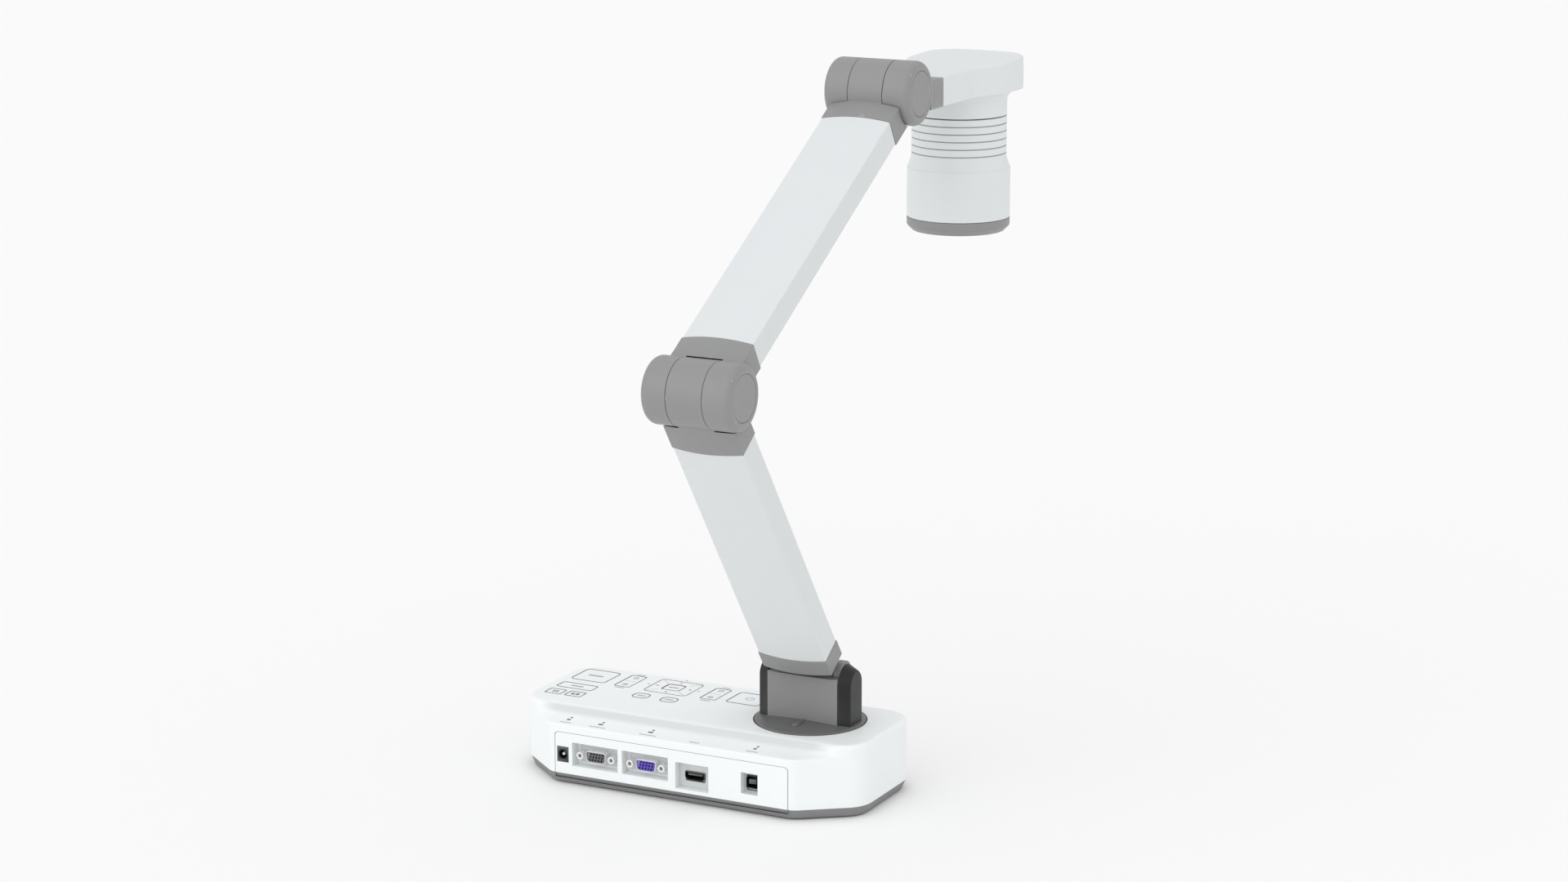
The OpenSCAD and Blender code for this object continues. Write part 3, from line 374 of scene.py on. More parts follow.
def rounded_rect(cx, cy, w, d, r, steps=8):
    points = []
    for sx, sy, start in ((1, 1, 0), (-1, 1, 90), (-1, -1, 180), (1, -1, 270)):
        points += arc(cx + sx * (w / 2 - r), cy + sy * (d / 2 - r), r, start, start + 90, steps)
    return points


def smoothstep(t):
    t = min(max(t, 0.0), 1.0)
    return t * t * (3 - 2 * t)


def lerp(a, b, t):
    return a + (b - a) * t


def lathe(profile, centre, axis="Z", steps=128):
    """Turns a closed outline of (radius, height) points about an axis through centre."""
    rings = []
    for r, h in profile:
        ring = []
        for i in range(steps):
            a = 2 * math.pi * i / steps
            c, s = r * math.cos(a), r * math.sin(a)
            p = (c, s, h) if axis == "Z" else (h, c, s) if axis == "X" else (s, h, c)
            ring.append((centre[0] + p[0], centre[1] + p[1], centre[2] + p[2]))
        rings.append(ring)
    return loft(rings, closed=True)


def offset_loop(points, inset):
    """A closed counter-clockwise outline moved inward along its own normals."""
    moved = []
    for i, p in enumerate(points):
        along = (Vector(points[(i + 1) % len(points)]) - Vector(points[i - 1])).normalized()
        moved.append((p[0] - inset * along.y, p[1] + inset * along.x))
    return moved


def bend(start, corner, end, steps):
    """A small curve from start to end whose tangents meet at corner."""
    return [tuple((1 - t) ** 2 * start + 2 * t * (1 - t) * corner + t ** 2 * end)
            for t in (k / steps for k in range(steps + 1))]


def softened(points, radius, steps=3):
    """Rounds every corner of a closed (x, y) outline with a small curve."""
    out = []
    count = len(points)
    for i in range(count):
        p = Vector(points[i]).to_2d()
        a = Vector(points[i - 1]).to_2d() - p
        b = Vector(points[(i + 1) % count]).to_2d() - p
        reach = min(radius, a.length * 0.45, b.length * 0.45)
        if reach < 1e-4 or a.angle(b) > math.radians(172):
            out.append(tuple(p))
            continue
        out += bend(p + a.normalized() * reach, p, p + b.normalized() * reach, steps)
    return out


WELD = 2e-6
CORNER_DEG = 38
# Pieces with broad curved faces, and the pitch of the grid that keeps their shading even.
SLICED = ["lower_foot_cap", "lower_elbow_cap", "upper_elbow_yoke", "upper_head_cap", "head_bracket",
          "turret_block"]
SLICE_MM = 3.5


def slice_grid(bm):
    """Cuts a mesh along a regular grid, so that its shading normals change only near its edges."""
    for axis in range(3):
        places = [v.co[axis] for v in bm.verts]
        low, high = min(places), max(places)
        normal = Vector([float(i == axis) for i in range(3)])
        for i in range(1, int((high - low) / (SLICE_MM * MM)) + 1):
            spot = normal * (low + (i - 0.37) * SLICE_MM * MM)
            bmesh.ops.bisect_plane(bm, geom=bm.verts[:] + bm.edges[:] + bm.faces[:], plane_co=spot,
                                   plane_no=normal, dist=WELD)


def cad_mesh(node):
    bm = bmesh.new()
    bm.from_mesh(frame["nodes"][node].data)
    bmesh.ops.remove_doubles(bm, verts=bm.verts, dist=WELD)
    return bm


def outer_edges(bm, least_deg):
    """Edges where the surface turns outward by more than least_deg."""
    limit = math.radians(least_deg)
    return [e for e in bm.edges
            if len(e.link_faces) == 2 and e.is_convex and e.calc_face_angle(0) > limit]


def round_edges(bm, edges, width_mm):
    bmesh.ops.bevel(bm, geom=edges, offset=width_mm * MM, segments=3, profile=0.5, affect="EDGES",
                    clamp_overlap=True)


def cad_copy(node, width_mm, material=None):
    """A piece with the CAD node's exact shape, its flat areas merged and its outer edges rounded."""
    bm = cad_mesh(node)
    bmesh.ops.dissolve_limit(bm, angle_limit=math.radians(0.4), verts=bm.verts, edges=bm.edges)
    bmesh.ops.recalc_face_normals(bm, faces=bm.faces)
    round_edges(bm, outer_edges(bm, CORNER_DEG), width_mm)
    if node in SLICED:
        slice_grid(bm)
    piece(node + "_shape", bm, BODY_OF[node], SLOT_OF[node], node, material=material)


def cut(obj, tools):
    """Takes tool meshes out of obj, one after the other."""
    for tool in tools:
        modifier = obj.modifiers.new("cut", "BOOLEAN")
        modifier.operation = "DIFFERENCE"
        modifier.solver = "EXACT"
        modifier.object = tool
        bpy.context.view_layer.update()
        result = obj.evaluated_get(bpy.context.evaluated_depsgraph_get())
        mesh = bpy.data.meshes.new_from_object(result)
        obj.modifiers.clear()
        obj.data = mesh
        bpy.data.objects.remove(tool)


def prism(points, z0, z1):
    """A tool with the plan of a closed (x, y) outline."""
    return add_object("tool", loft([[(x, y, z) for x, y in points] for z in (z0, z1)]))


def stack(name, layers, closed=False):
    """An object through layers of an (x, z) outline and the y where it stands."""
    rings = [[(x, y, z) for x, z in outline] for outline, y in layers]
    return add_object(name, loft(rings, closed))


# ---- base casing ----

BASE_HALF_W, BASE_HALF_D = 134.0, 47.5
BASE_R = 22.0
BASE_TOP = 52.0
TRAY_TOP = 8.0
RIM_Z = 43.8
RIM_R = 1.2
SIDE_EDGE_R = 3.4
CREASE_DEG = 58
WALL = 2.4
CEILING_Z = BASE_TOP - WALL
PANEL_GAP = 0.3
WELL_R = 40.0
HOLE_EDGE = 0.28
VGA_XS = (61.2, 21.2)
HDMI_X, USB_X = -15.9, -60.6
panel_low, panel_high = box_mm("port_panel")
PANEL_Y = panel_high.y
PANEL_MID = (panel_low.x + panel_high.x) / 2
PANEL_HALF = 91.6
PANEL_TOP = 37.9
PANEL_R = 3.0
LEDGE_W = PANEL_Y - BASE_HALF_D


def corner_arc(sx, sy, start, end, steps):
    """Outline point and outward normal along one of the casing's round corners."""
    cx, cy = sx * (BASE_HALF_W - BASE_R), sy * (BASE_HALF_D - BASE_R)
    points = arc(0, 0, 1, start, end, steps)
    return [((cx + BASE_R * x, cy + BASE_R * y), (x, y)) for x, y in points]


def bulge_side(sx):
    """Outer points from the crease in the corner to the middle of the rear face, for sx = 1."""
    start = Vector(corner_arc(sx, 1, CREASE_DEG if sx > 0 else 180 - CREASE_DEG, 90, 1)[0][0])
    corner = Vector((PANEL_MID + sx * 95.0, PANEL_Y))
    reach = 5.5
    before = corner + reach * (start - corner).normalized()
    after = corner + Vector((-sx * reach, 0))
    slanted = [tuple(start.lerp(before, (i / 18) ** 1.15)) for i in range(18)]
    flat = [(lerp(after.x, PANEL_MID, i / 8), PANEL_Y) for i in range(1, 9)]
    return slanted + bend(before, corner, after, 8) + flat


def rear_pairs(sx):
    """(outer point, main outline point, its normal) from the crease to the middle of the rear."""
    outer = bulge_side(sx)
    turn_x = BASE_HALF_W - BASE_R
    crease_x = outer[0][0]
    pairs = []
    for x, y in outer:
        if abs(x) > turn_x:
            t = (abs(crease_x) - abs(x)) / (abs(crease_x) - turn_x)
            angle = lerp(CREASE_DEG, 90, t)
            n = (sx * math.cos(math.radians(angle)), math.sin(math.radians(angle)))
            p = (sx * turn_x + BASE_R * n[0], BASE_HALF_D - BASE_R + BASE_R * n[1])
        else:
            n, p = (0.0, 1.0), (x, BASE_HALF_D)
        pairs.append(((x, y), p, n))
    return pairs


def casing_perimeter():
    """(outer point, main outline point, its normal), counter-clockwise from the front right corner."""
    right = corner_arc(1, -1, -90, 0, 14) + corner_arc(1, 1, 0, CREASE_DEG, 10)[:-1]
    left = corner_arc(-1, 1, 180 - CREASE_DEG, 180, 10)[1:] + corner_arc(-1, -1, 180, 270, 14)
    rear = rear_pairs(1) + rear_pairs(-1)[-2::-1]
    return [(p, p, n) for p, n in right] + rear + [(p, p, n) for p, n in left]


def bezier(p0, p1, p2, p3, t):
    return tuple(
        (1 - t) ** 3 * a + 3 * (1 - t) ** 2 * t * b + 3 * (1 - t) * t ** 2 * c + t ** 3 * d
        for a, b, c, d in zip(p0, p1, p2, p3)
    )


CURVE_STEPS, ARC_STEPS = 24, 5
SLOPE_AT = (0.6, 48.6)
# Colour factor of the painted shade on the steep part of the dish behind the controls.
DISH_SHADE = 0.76


def ledge_curve(t):
    """Distance outward from the main outline and height, from the casing's top to the bulge's rim."""
    if t < 0.5:
        return bezier((-7.0, BASE_TOP), (-2.2, BASE_TOP), (-1.0, 51.4), SLOPE_AT, 2 * t)
    return bezier(SLOPE_AT, (2.0, 46.2), (4.5, 45.3), (LEDGE_W - RIM_R, RIM_Z), 2 * t - 1)


def rear_profile():
    curve = [ledge_curve(i / CURVE_STEPS) for i in range(CURVE_STEPS + 1)]
    return curve + arc(LEDGE_W - RIM_R, RIM_Z - RIM_R, RIM_R, 90, 0, ARC_STEPS)[1:]


def side_profile():
    """Like rear_profile, with as many points, down the straight wall at the sides and the front."""
    edge_z = BASE_TOP - SIDE_EDGE_R
    points = arc(-SIDE_EDGE_R, edge_z, SIDE_EDGE_R, 90, 0, 8)
    rest = CURVE_STEPS + ARC_STEPS + 1 - len(points)
    return points + [(0.0, lerp(edge_z, RIM_Z - RIM_R, i / rest)) for i in range(1, rest + 1)]


def casing_rings():
    rear, side = rear_profile(), side_profile()
    rows = casing_perimeter()
    rings = []
    for (rs, rz), (ss, sz) in zip(rear, side):
        ring = []
        for outer, p, n in rows:
            reach = math.dist(outer, p)
            w = smoothstep(reach / 9)
            s, z = lerp(ss, rs, w), lerp(sz, rz, w)
            if s <= 0:
                x, y = p[0] + s * n[0], p[1] + s * n[1]
            else:
                k = min(1.0, s / lerp(1.0, LEDGE_W, w)) if reach else 0.0
                x, y = lerp(p[0], outer[0], k), lerp(p[1], outer[1], k)
            ring.append((x, y, z))
        rings.append(ring)
    for z in (38.0, 24.0, TRAY_TOP + 0.8, TRAY_TOP):
        rings.append([(o[0], o[1], z) for o, p, n in rows])
    return rings


KEYS = ["key_large", "key_wide", "key_small_1", "key_small_2", "key_small_3", "key_small_4",
        "key_power"]
ROCKERS = ["rocker_key_1", "rocker_key_2"]
INSET_CONTROLS = KEYS + ROCKERS + ["nav_ring"]
KEY_GAP = 0.42
KEY_LIP = 0.9
# How far the dark strips of painted gap shade rise above the casing's top.
SHADE_STRIP_RISE = 0.24
NAV_CLEAR = 0.32
CORNER_R = {
    "key_large": 3, "key_wide": 1.5, "key_small_1": 1, "key_small_2": 1, "key_small_3": 3,
    "key_small_4": 3, "key_enter": 1.5, "key_power": 2.5, "rocker_key_1": 1, "rocker_key_2": 1,
    "nav_ring": 3,
}


def key_plan(node):
    """Centre, width, depth and corner radius of a key's cap."""
    low, high = box_mm(node)
    lip = 0.0 if node in ROCKERS + ["nav_ring"] else 1.2 if node == "key_enter" else KEY_LIP
    mid = (low + high) / 2
    return mid.x, mid.y, high.x - low.x - 2 * lip, high.y - low.y - 2 * lip, CORNER_R[node]


def grown(plan, g, least_r=0.3):
    cx, cy, w, d, r = plan
    return rounded_rect(cx, cy, w + 2 * g, d + 2 * g, max(r + g, least_r))


def panel_outline(g):
    half, top = PANEL_HALF + g, PANEL_TOP + g
    points = [(half, TRAY_TOP - 3)]
    points += arc(half - PANEL_R, top - PANEL_R, PANEL_R, 0, 90, 8)
    points += arc(PANEL_R - half, top - PANEL_R, PANEL_R, 90, 180, 8)
    points.append((-half, TRAY_TOP - 3))
    return [(PANEL_MID + x, z) for x, z in points]


def dish_painted_shade_white():
    """The casing's plastic with painted shade: a little darker along the steep part of the dish behind the
    controls.
    """
    material = moulded("casing_white_painted_dish_shade", WHITE, 0.46, mottle=0.012)
    tree = material.node_tree
    base = tree.nodes["Principled BSDF"].inputs["Base Color"]
    coords = tree.nodes.new("ShaderNodeTexCoord")
    split = tree.nodes.new("ShaderNodeSeparateXYZ")
    plug(tree, split.inputs["Vector"], coords.outputs["Object"])
    # Mask of the painted shade: a soft band in height, depth and width along the dish's slope.
    painted_shade_mask = 1.0
    for axis, outside, inside in (("Z", 45.4, 48.2), ("Z", 51.98, 50.4), ("Y", 40.0, 44.0),
                                  ("X", PANEL_MID - 118, PANEL_MID - 100),
                                  ("X", PANEL_MID + 118, PANEL_MID + 100)):
        ramp = add_range(tree, split.outputs[axis], outside * MM, inside * MM,
                         interpolation="SMOOTHSTEP")
        painted_shade_mask = add_math(tree, "MULTIPLY", painted_shade_mask, ramp)
    painted_shade_colour = (DISH_SHADE, DISH_SHADE, DISH_SHADE, 1)
    plug(tree, base, add_mix(tree, painted_shade_mask, base.links[0].from_socket, painted_shade_colour, "MULTIPLY"))
    return material


def build_casing():
    obj = add_object("casing", loft(casing_rings()))
    cavity = rounded_rect(0, 0, 2 * (BASE_HALF_W - WALL), 2 * (BASE_HALF_D - WALL), BASE_R - WALL, 12)
    bay = [(PANEL_MID + x, y) for x, y in (
        (116, 30), (116, 46), (93.4, PANEL_Y - WALL), (-93.4, PANEL_Y - WALL), (-116, 46), (-116, 30))]
    opening = panel_outline(PANEL_GAP)
    tools = [prism(cavity, 0, CEILING_Z), prism(bay, 0, RIM_Z - WALL),
             stack("tool", [(opening, PANEL_Y - 6), (opening, PANEL_Y + 6)])]
    holes = [circle(TURRET.x, TURRET.y, WELL_R, 144)]
    holes += [grown(key_plan(node), KEY_GAP) for node in INSET_CONTROLS]
    tools += [prism(hole, CEILING_Z - 4, BASE_TOP + 4) for hole in holes]
    cut(obj, tools)
    bm = bmesh.new()
    bm.from_mesh(obj.data)
    bmesh.ops.remove_doubles(bm, verts=bm.verts, dist=1e-6)
    crisp = []
    for e in outer_edges(bm, 50):
        a, b = (v.co / MM for v in e.verts)
        on_top = min(a.z, b.z) > BASE_TOP - 0.05
        on_rear = min(a.y, b.y) > PANEL_Y - 0.05
        if on_top or on_rear:
            crisp.append(e)
    round_edges(bm, crisp, HOLE_EDGE)
    bm.to_mesh(obj.data)
    bm.free()
    finished(obj, "base", "casing_white", "base_shell", material=dish_painted_shade_white())


def build_well():
    """The cup under the turret's disc, part of the casing's moulding."""
    r_in, r_out, floor = WELL_R, 41.8, 47.0
    profile = softened([(30.1, 44.5), (r_out, 44.5), (r_out, CEILING_Z + 0.4), (r_in, CEILING_Z + 0.4),
                        (r_in, floor), (30.1, floor)], 0.2)
    piece("turret_well", lathe(profile, TURRET_AXIS), "base", "casing_white")


def build_tray():
    low = box_mm("base_tray")[0].z
    levels = [(0.3, TRAY_TOP), (0.3, TRAY_TOP - 0.5), (0.5, TRAY_TOP - 1.2), (2.4, low + 1.0),
              (2.9, low + 0.3), (3.8, low)]
    outline = [Vector(outer) for outer, p, n in casing_perimeter()]
    rings = [[(x, y, z) for x, y in offset_loop(outline, inset)] for inset, z in levels]
    obj = add_object("tray", loft(rings))
    tools = []
    for node, r, sides, depth in (("rubber_feet", 8.2, 60, 1.4), ("tray_screws", 3.7, 36, 2.2)):
        for x, y, _ in islands(node):
            tools.append(prism(circle(x, y, r, sides), low - 2, low + depth))
    cut(obj, tools)
    finished(obj, "base", "tray_grey", "base_tray")


def islands(node):
    """Centres of the separate solids in a CAD node, in millimetres."""
    bm = cad_mesh(node)
    seen, centres = set(), []
    for start in bm.verts:
        if start.index in seen:
            continue
        todo, members = [start], []
        seen.add(start.index)
        while todo:
            v = todo.pop()
            members.append(v.co / MM)
            near = [w for w in (e.other_vert(v) for e in v.link_edges) if w.index not in seen]
            seen.update(w.index for w in near)
            todo += near
        centres.append([(min(m[i] for m in members) + max(m[i] for m in members)) / 2
                        for i in range(3)])
    bm.free()
    return centres


def add_gap_shade_strip(name, body, outer, inner, low, high, upright=False):
    """A dark closed strip between two outlines with as many points each, level or upright: painted shade in a gap.
    """
    rings = [[(a, h, b) if upright else (a, b, h) for a, b in outline]
             for outline, h in ((outer, low), (outer, high), (inner, high), (inner, low))]
    place(add_object(name, loft(rings, closed=True)), body, "rubber_black", material=GAP_SHADE_SHEET)


def build_gap_shades():
    """Dark strips of painted shade in the gaps round the keys, the panel and the turret."""
    level = (50.6, BASE_TOP + SHADE_STRIP_RISE)
    for node in INSET_CONTROLS:
        clear = NAV_CLEAR if node == "nav_ring" else 0.22 if node in ROCKERS else 0.06
        plan = key_plan(node)
        add_gap_shade_strip(node + "_gap_shade", "base", grown(plan, KEY_GAP + 0.12), grown(plan, clear), *level)
    plan = key_plan("key_enter")
    add_gap_shade_strip("key_enter_gap_shade", "nav_ring_body", grown(plan, 0.95), grown(plan, 0.3), *level)
    add_gap_shade_strip("panel_gap_shade", "base", panel_outline(PANEL_GAP + 0.1), panel_outline(-0.05),
             PANEL_Y - 2, PANEL_Y - 0.12, upright=True)
    profile = softened([(39.36, 49.2), (WELL_R + 0.1, 49.2), (WELL_R + 0.1, 51.5), (39.36, 51.5)], 0.1)
    piece("turret_gap_shade", lathe(profile, TURRET_AXIS, steps=160), "base",
          "rubber_black", material=GAP_SHADE_SHEET)


# ---- keys ----

CAP_EDGE = 0.35


def grown_ring(plan, g, z):
    return [(x, y, z) for x, y in grown(plan, g, 0.15)]


def cap_rings(plan, z0, z1, edge, steps=4):
    """Rings of an upright block with a rounded top edge."""
    rings = [grown_ring(plan, 0, z0), grown_ring(plan, 0, z1 - edge)]
    for i in range(1, steps + 1):
        a = math.pi / 2 * i / steps
        rings.append(grown_ring(plan, -edge * (1 - math.cos(a)), z1 - edge + edge * math.sin(a)))
    return rings


def build_key(node):
    plan = key_plan(node)
    low, high = box_mm(node)
    lip = plan[:2] + (high.x - low.x, high.y - low.y, plan[4] + 0.8)
    rings = [grown_ring(lip, 0, low.z), grown_ring(lip, 0, low.z + 0.6)]
    rings += cap_rings(plan, low.z + 0.7, high.z, CAP_EDGE)
    piece(node + "_cap", loft(rings), BODY_OF[node], "key_white", node)


def build_rocker(node):
    """A long key with its pivot pin and the block that holds the pin."""
    body, plan = BODY_OF[node], key_plan(node)
    cx, cy = plan[:2]
    cap = cap_rings(plan, CEILING_Z + 0.3, box_mm(node)[1].z, CAP_EDGE)
    piece(node + "_cap", loft(cap), body, "key_white", node)
    pin = softened([(0.01, -4.8), (0.9, -4.8), (0.9, 4.8), (0.01, 4.8)], 0.1)
    piece(node + "_pin", lathe(pin, (cx, cy, 46.4), "X", 32), body, "key_white")
    stem = cap_rings((cx, cy, 6, 4, 0.5), 44.8, CEILING_Z + 0.4, 0.2)
    piece(node + "_stem", loft(stem), body, "key_white")


def mark(name, body, points, z, ink=INK):
    """A printed mark: a film of ink in the shape of a closed outline."""
    rings = [[(x, y, z + h) for x, y in points] for h in (-0.02, 0.03)]
    place(add_object(name, loft(rings)), body, "black_plastic", material=ink)


def dashes(name, body, x, y, w, d, count, height):
    """A row of small printed dashes, where a product would carry a word."""
    step = w / count
    bm = bmesh.new()
    for i in range(count):
        outline = rounded_rect(x - w / 2 + step * (i + 0.5), y, step * 0.72, d, 0.12, 1)
        part = loft([[(px, py, height(y) + h) for px, py in outline] for h in (-0.03, 0.03)])
        mesh = bpy.data.meshes.new("dash")
        part.to_mesh(mesh)
        part.free()
        bm.from_mesh(mesh)
        bpy.data.meshes.remove(mesh)
    place(add_object(name, bm), body, "black_plastic", material=INK)


def bar(cx, cy, w, d):
    return rounded_rect(cx, cy, w, d, min(w, d) * 0.48, 3)


def ring_mark(name, body, cx, cy, r, width, z, start, end, ink):
    """Part of a printed ring, from start to end in degrees."""
    outer = arc(cx, cy, r + width / 2, start, end, 36)
    inner = arc(cx, cy, r - width / 2, end, start, 36)
    mark(name, body, outer + inner, z, ink)


def print_keys():
    def centre(node):
        plan = key_plan(node)
        return plan[0], plan[1], box_mm(node)[1].z

    for node, w, d in (("key_large", 12, 2.6), ("key_wide", 10, 2.2), ("key_enter", 8, 2.2),
                       ("key_small_3", 6.4, 2.0), ("key_small_4", 7, 2.0)):
        x, y, z = centre(node)
        dashes(node + "_print", BODY_OF[node], x, y, w, d, round(w / 1.5), lambda _: z)
    x, y, z = centre("key_small_1")
    for i in (-1, 1):
        for j in (-1, 1):
            mark(f"key_small_1_print_{i + 2}{j + 2}", "key_small_1_body",
                 rounded_rect(x + 1.35 * i, y + 1.1 * j, 2.2, 1.7, 0.3, 2), z)
    x, y, z = centre("key_small_2")
    mark("key_small_2_print", "key_small_2_body", rounded_rect(x, y, 6.4, 4.2, 0.8, 3), z)
    mark("key_small_2_print_dot", "key_small_2_body", circle(x, y, 1.15, 24), z + 0.02,
         MATERIALS["key_white"])
    for node in ROCKERS:
        x, y, z = centre(node)
        body = BODY_OF[node]
        for side in (-1, 1):
            cy = y + side * 8.2
            ring_mark(f"{node}_print_ring_{side + 1}", body, x, cy, 1.9, 0.6, z, 0, 350, INK)
            mark(f"{node}_print_bar_{side + 1}", body, bar(x, cy, 2.2, 0.55), z)
            if side > 0:
                mark(f"{node}_print_plus", body, bar(x, cy, 0.55, 2.2), z + 0.01)
        mark(f"{node}_middle", body, bar(x, y, 8.6, 0.35), z)
        dashes(f"{node}_caption", "base", x, y + 16.6, 7.5, 1.5, 5, lambda _: BASE_TOP)
        dashes(f"{node}_caption_front", "base", x, y - 16.4, 6.5, 1.4, 4, lambda _: BASE_TOP)
    x, y, z = centre("nav_ring")
    for i, (dx, dy) in enumerate(((0, 11.8), (0, -11.8), (13.4, 0), (-13.4, 0))):
        turn = math.atan2(dy, dx)
        tri = [(x + dx + 1.6 * math.cos(turn + a), y + dy + 1.6 * math.sin(turn + a))
               for a in (0, 2.25, -2.25)]
        mark(f"nav_ring_print_{i}", "nav_ring_body", tri, z)
    for i, (sx, sy) in enumerate(((1, 1), (1, -1), (-1, 1), (-1, -1))):
        near, far = Vector((x + 8.6 * sx, y + 8.0 * sy)), Vector((x + 15.9 * sx, y + 14.2 * sy))
        side = (far - near).normalized().orthogonal() * 0.16
        line = [near - side, far - side, far + side, near + side]
        mark(f"nav_ring_line_{i}", "nav_ring_body", line, z)
    for i, (dx, dy) in enumerate(((20.5, 0), (-20, 0), (0, -19.8))):
        mark(f"nav_caption_{i}", "base", bar(x + dx, y + dy, 1.8, 1.2), BASE_TOP)
    x, y, z = centre("key_power")
    ring_mark("key_power_print", "key_power_body", x - 0.4, y - 0.7, 3.0, 0.85, z, -60, 240, INK_BLUE)
    mark("key_power_print_bar", "key_power_body", bar(x - 0.4, y - 3.2, 0.85, 3.4), z, INK_BLUE)


def ledge_height(y):
    """Height of the ledge above the sockets at depth y."""
    target = y - BASE_HALF_D
    low, high = 0.0, 1.0
    for _ in range(40):
        mid = (low + high) / 2
        if ledge_curve(mid)[0] < target:
            low = mid
        else:
            high = mid
    return ledge_curve(low)[1]


def ledge_mark(name, points):
    rings = [[(x, y, ledge_height(y) + h) for x, y in points] for h in (-0.05, 0.035)]
    place(add_object(name, loft(rings)), "base", "black_plastic", material=INK)


def print_ledge():
    rows = (("dc", 87.0, 9, 1.5), ("video_out", VGA_XS[0], 13, 1.9), ("video_in", VGA_XS[1], 13, 1.9),
            ("digital", HDMI_X, 8, 0), ("data", USB_X, 9, 1.2))
    for name, x, width, icon in rows:
        dashes(name + "_ledge_caption", "base", x, 61.8, width, 1.5, round(width / 1.3), ledge_height)
        if icon:
            ledge_mark(name + "_ledge_icon", rounded_rect(x, 57.4, 2 * icon, 2.2, 0.6, 3))
            ledge_mark(name + "_ledge_dot", circle(x - 0.6, 54.2, 0.95, 18))


# ---- video sockets ----

VGA_Z = 22.5
SCREW_SPACING = 25.0
POCKET_FLOOR_Y = PANEL_Y - 8.5
VGA_FRONT_Y = PANEL_Y - 1.2


def d_outline(x, grow=0.0):
    """Outline of a 15-pin socket, wider at the top, with round corners: (x, z)."""
    top, low, half = 8.3 + grow, 7.2 + grow, 4.1 + grow
    corners = [(x - top, VGA_Z + half), (x + top, VGA_Z + half), (x + low, VGA_Z - half),
               (x - low, VGA_Z - half)]
    return softened(corners, 2.6 + grow, steps=6)


def build_video_socket(x, insert_node, tag):
    shell_back, lip = POCKET_FLOOR_Y + 0.5, VGA_FRONT_Y
    layers = [(0.0, shell_back), (0.0, lip - 0.25), (-0.08, lip - 0.07), (-0.25, lip),
              (-0.42, lip - 0.07), (-0.5, lip - 0.25), (-0.5, shell_back)]
    shell = stack("video_shell_" + tag, [(d_outline(x, grow), y) for grow, y in layers], closed=True)
    finished(shell, "base", "bright_metal", "vga_shells")
    plate = rounded_rect(x, VGA_Z, 31.2, 12.4, 1.2)
    flange = stack("video_flange_" + tag, [(plate, POCKET_FLOOR_Y), (plate, POCKET_FLOOR_Y + 0.8)])
    holes = []
    for side in (-1, 1):
        hole = circle(x + side * SCREW_SPACING / 2, VGA_Z, 1.75, 24)
        holes.append(stack("tool", [(hole, POCKET_FLOOR_Y - 1), (hole, POCKET_FLOOR_Y + 2)]))
    cut(flange, holes)
    finished(flange, "base", "bright_metal", material=FLANGE)

    front = VGA_FRONT_Y - 0.9
    layers = [(-0.55, POCKET_FLOOR_Y + 0.9), (-0.55, front - 0.2), (-0.75, front)]
    insert = stack("video_insert_" + tag, [(d_outline(x, grow), y) for grow, y in layers])
    pins = []
    for row in (-1, 0, 1):
        for i in range(-2, 3):
            hole = circle(x + 2.35 * i - 0.55 * row, VGA_Z + 2.2 * row, 0.62, 16)
            pins.append(stack("tool", [(hole, front - 3.5), (hole, front + 1)]))
    cut(insert, pins)
    finished(insert, "base", SLOT_OF[insert_node], insert_node)
    # The walls inside the pin holes get black plastic: painted shade deep in the holes.
    insert.data.materials.append(MATERIALS["black_plastic"])
    for polygon in insert.data.polygons:
        middle = polygon.center / MM
        inside = math.hypot(middle.x - x, middle.z - VGA_Z) < 6.2 and abs(middle.z - VGA_Z) < 3.0
        if inside and POCKET_FLOOR_Y + 1 < middle.y < front - 0.25:
            polygon.material_index = 1


def build_socket_floor(node, centre_x, centre_z, wide, high):
    """A light plate on the floor of a data socket's pocket, cut to the connector's outline."""
    front = PANEL_Y - 5.7
    edge = rounded_rect(centre_x, centre_z, wide, high, 0.3, 2)
    inner = rounded_rect(centre_x, centre_z, wide - 0.4, high - 0.4, 0.2, 2)
    plate = stack(node + "_floor", [(edge, POCKET_FLOOR_Y), (edge, front - 0.2), (inner, front)])
    least, most = box_mm(node)
    middle, size = (least + most) / 2, most - least
    opening = rounded_rect(middle.x, middle.z, size.x + 0.3, size.z + 0.3, 0.8, 3)
    cut(plate, [stack("tool", [(opening, POCKET_FLOOR_Y - 1), (opening, front + 1)])])
    finished(plate, "base", "casing_white", material=FLANGE)


# ---- arm ----

ARM_HALF_W = 26.3
ARM_T = 20.0
ARM_CROWN = 3.0
SLEEVE_INSET = 0.4
SLEEVE_WALL = 2.2
crown_r = (ARM_HALF_W ** 2 + ARM_CROWN ** 2) / (2 * ARM_CROWN)


def arm_outline(inset, corner):
    """Cross-section of an arm: (across, outward) with a crowned outer face and round corners."""
    half = ARM_HALF_W - inset
    inner = -ARM_T / 2 + inset
    radius = crown_r - inset
    centre = ARM_T / 2 + ARM_CROWN - crown_r
    steps = 28
    crown = [(x, centre + math.sqrt(radius ** 2 - x ** 2))
             for x in (lerp(half, -half, i / steps) for i in range(steps + 1))]
    return softened([(half, inner)] + crown + [(-half, inner)], corner)


def arm_place(hinge, pitch, offset, x, along, out):
    """Point in an arm's frame, turned by the arm's pitch about its hinge."""
    y, z = along, -(out + offset)
    c, s = math.cos(pitch), math.sin(pitch)
    return hinge.x + x, hinge.y + y * c - z * s, hinge.z + y * s + z * c


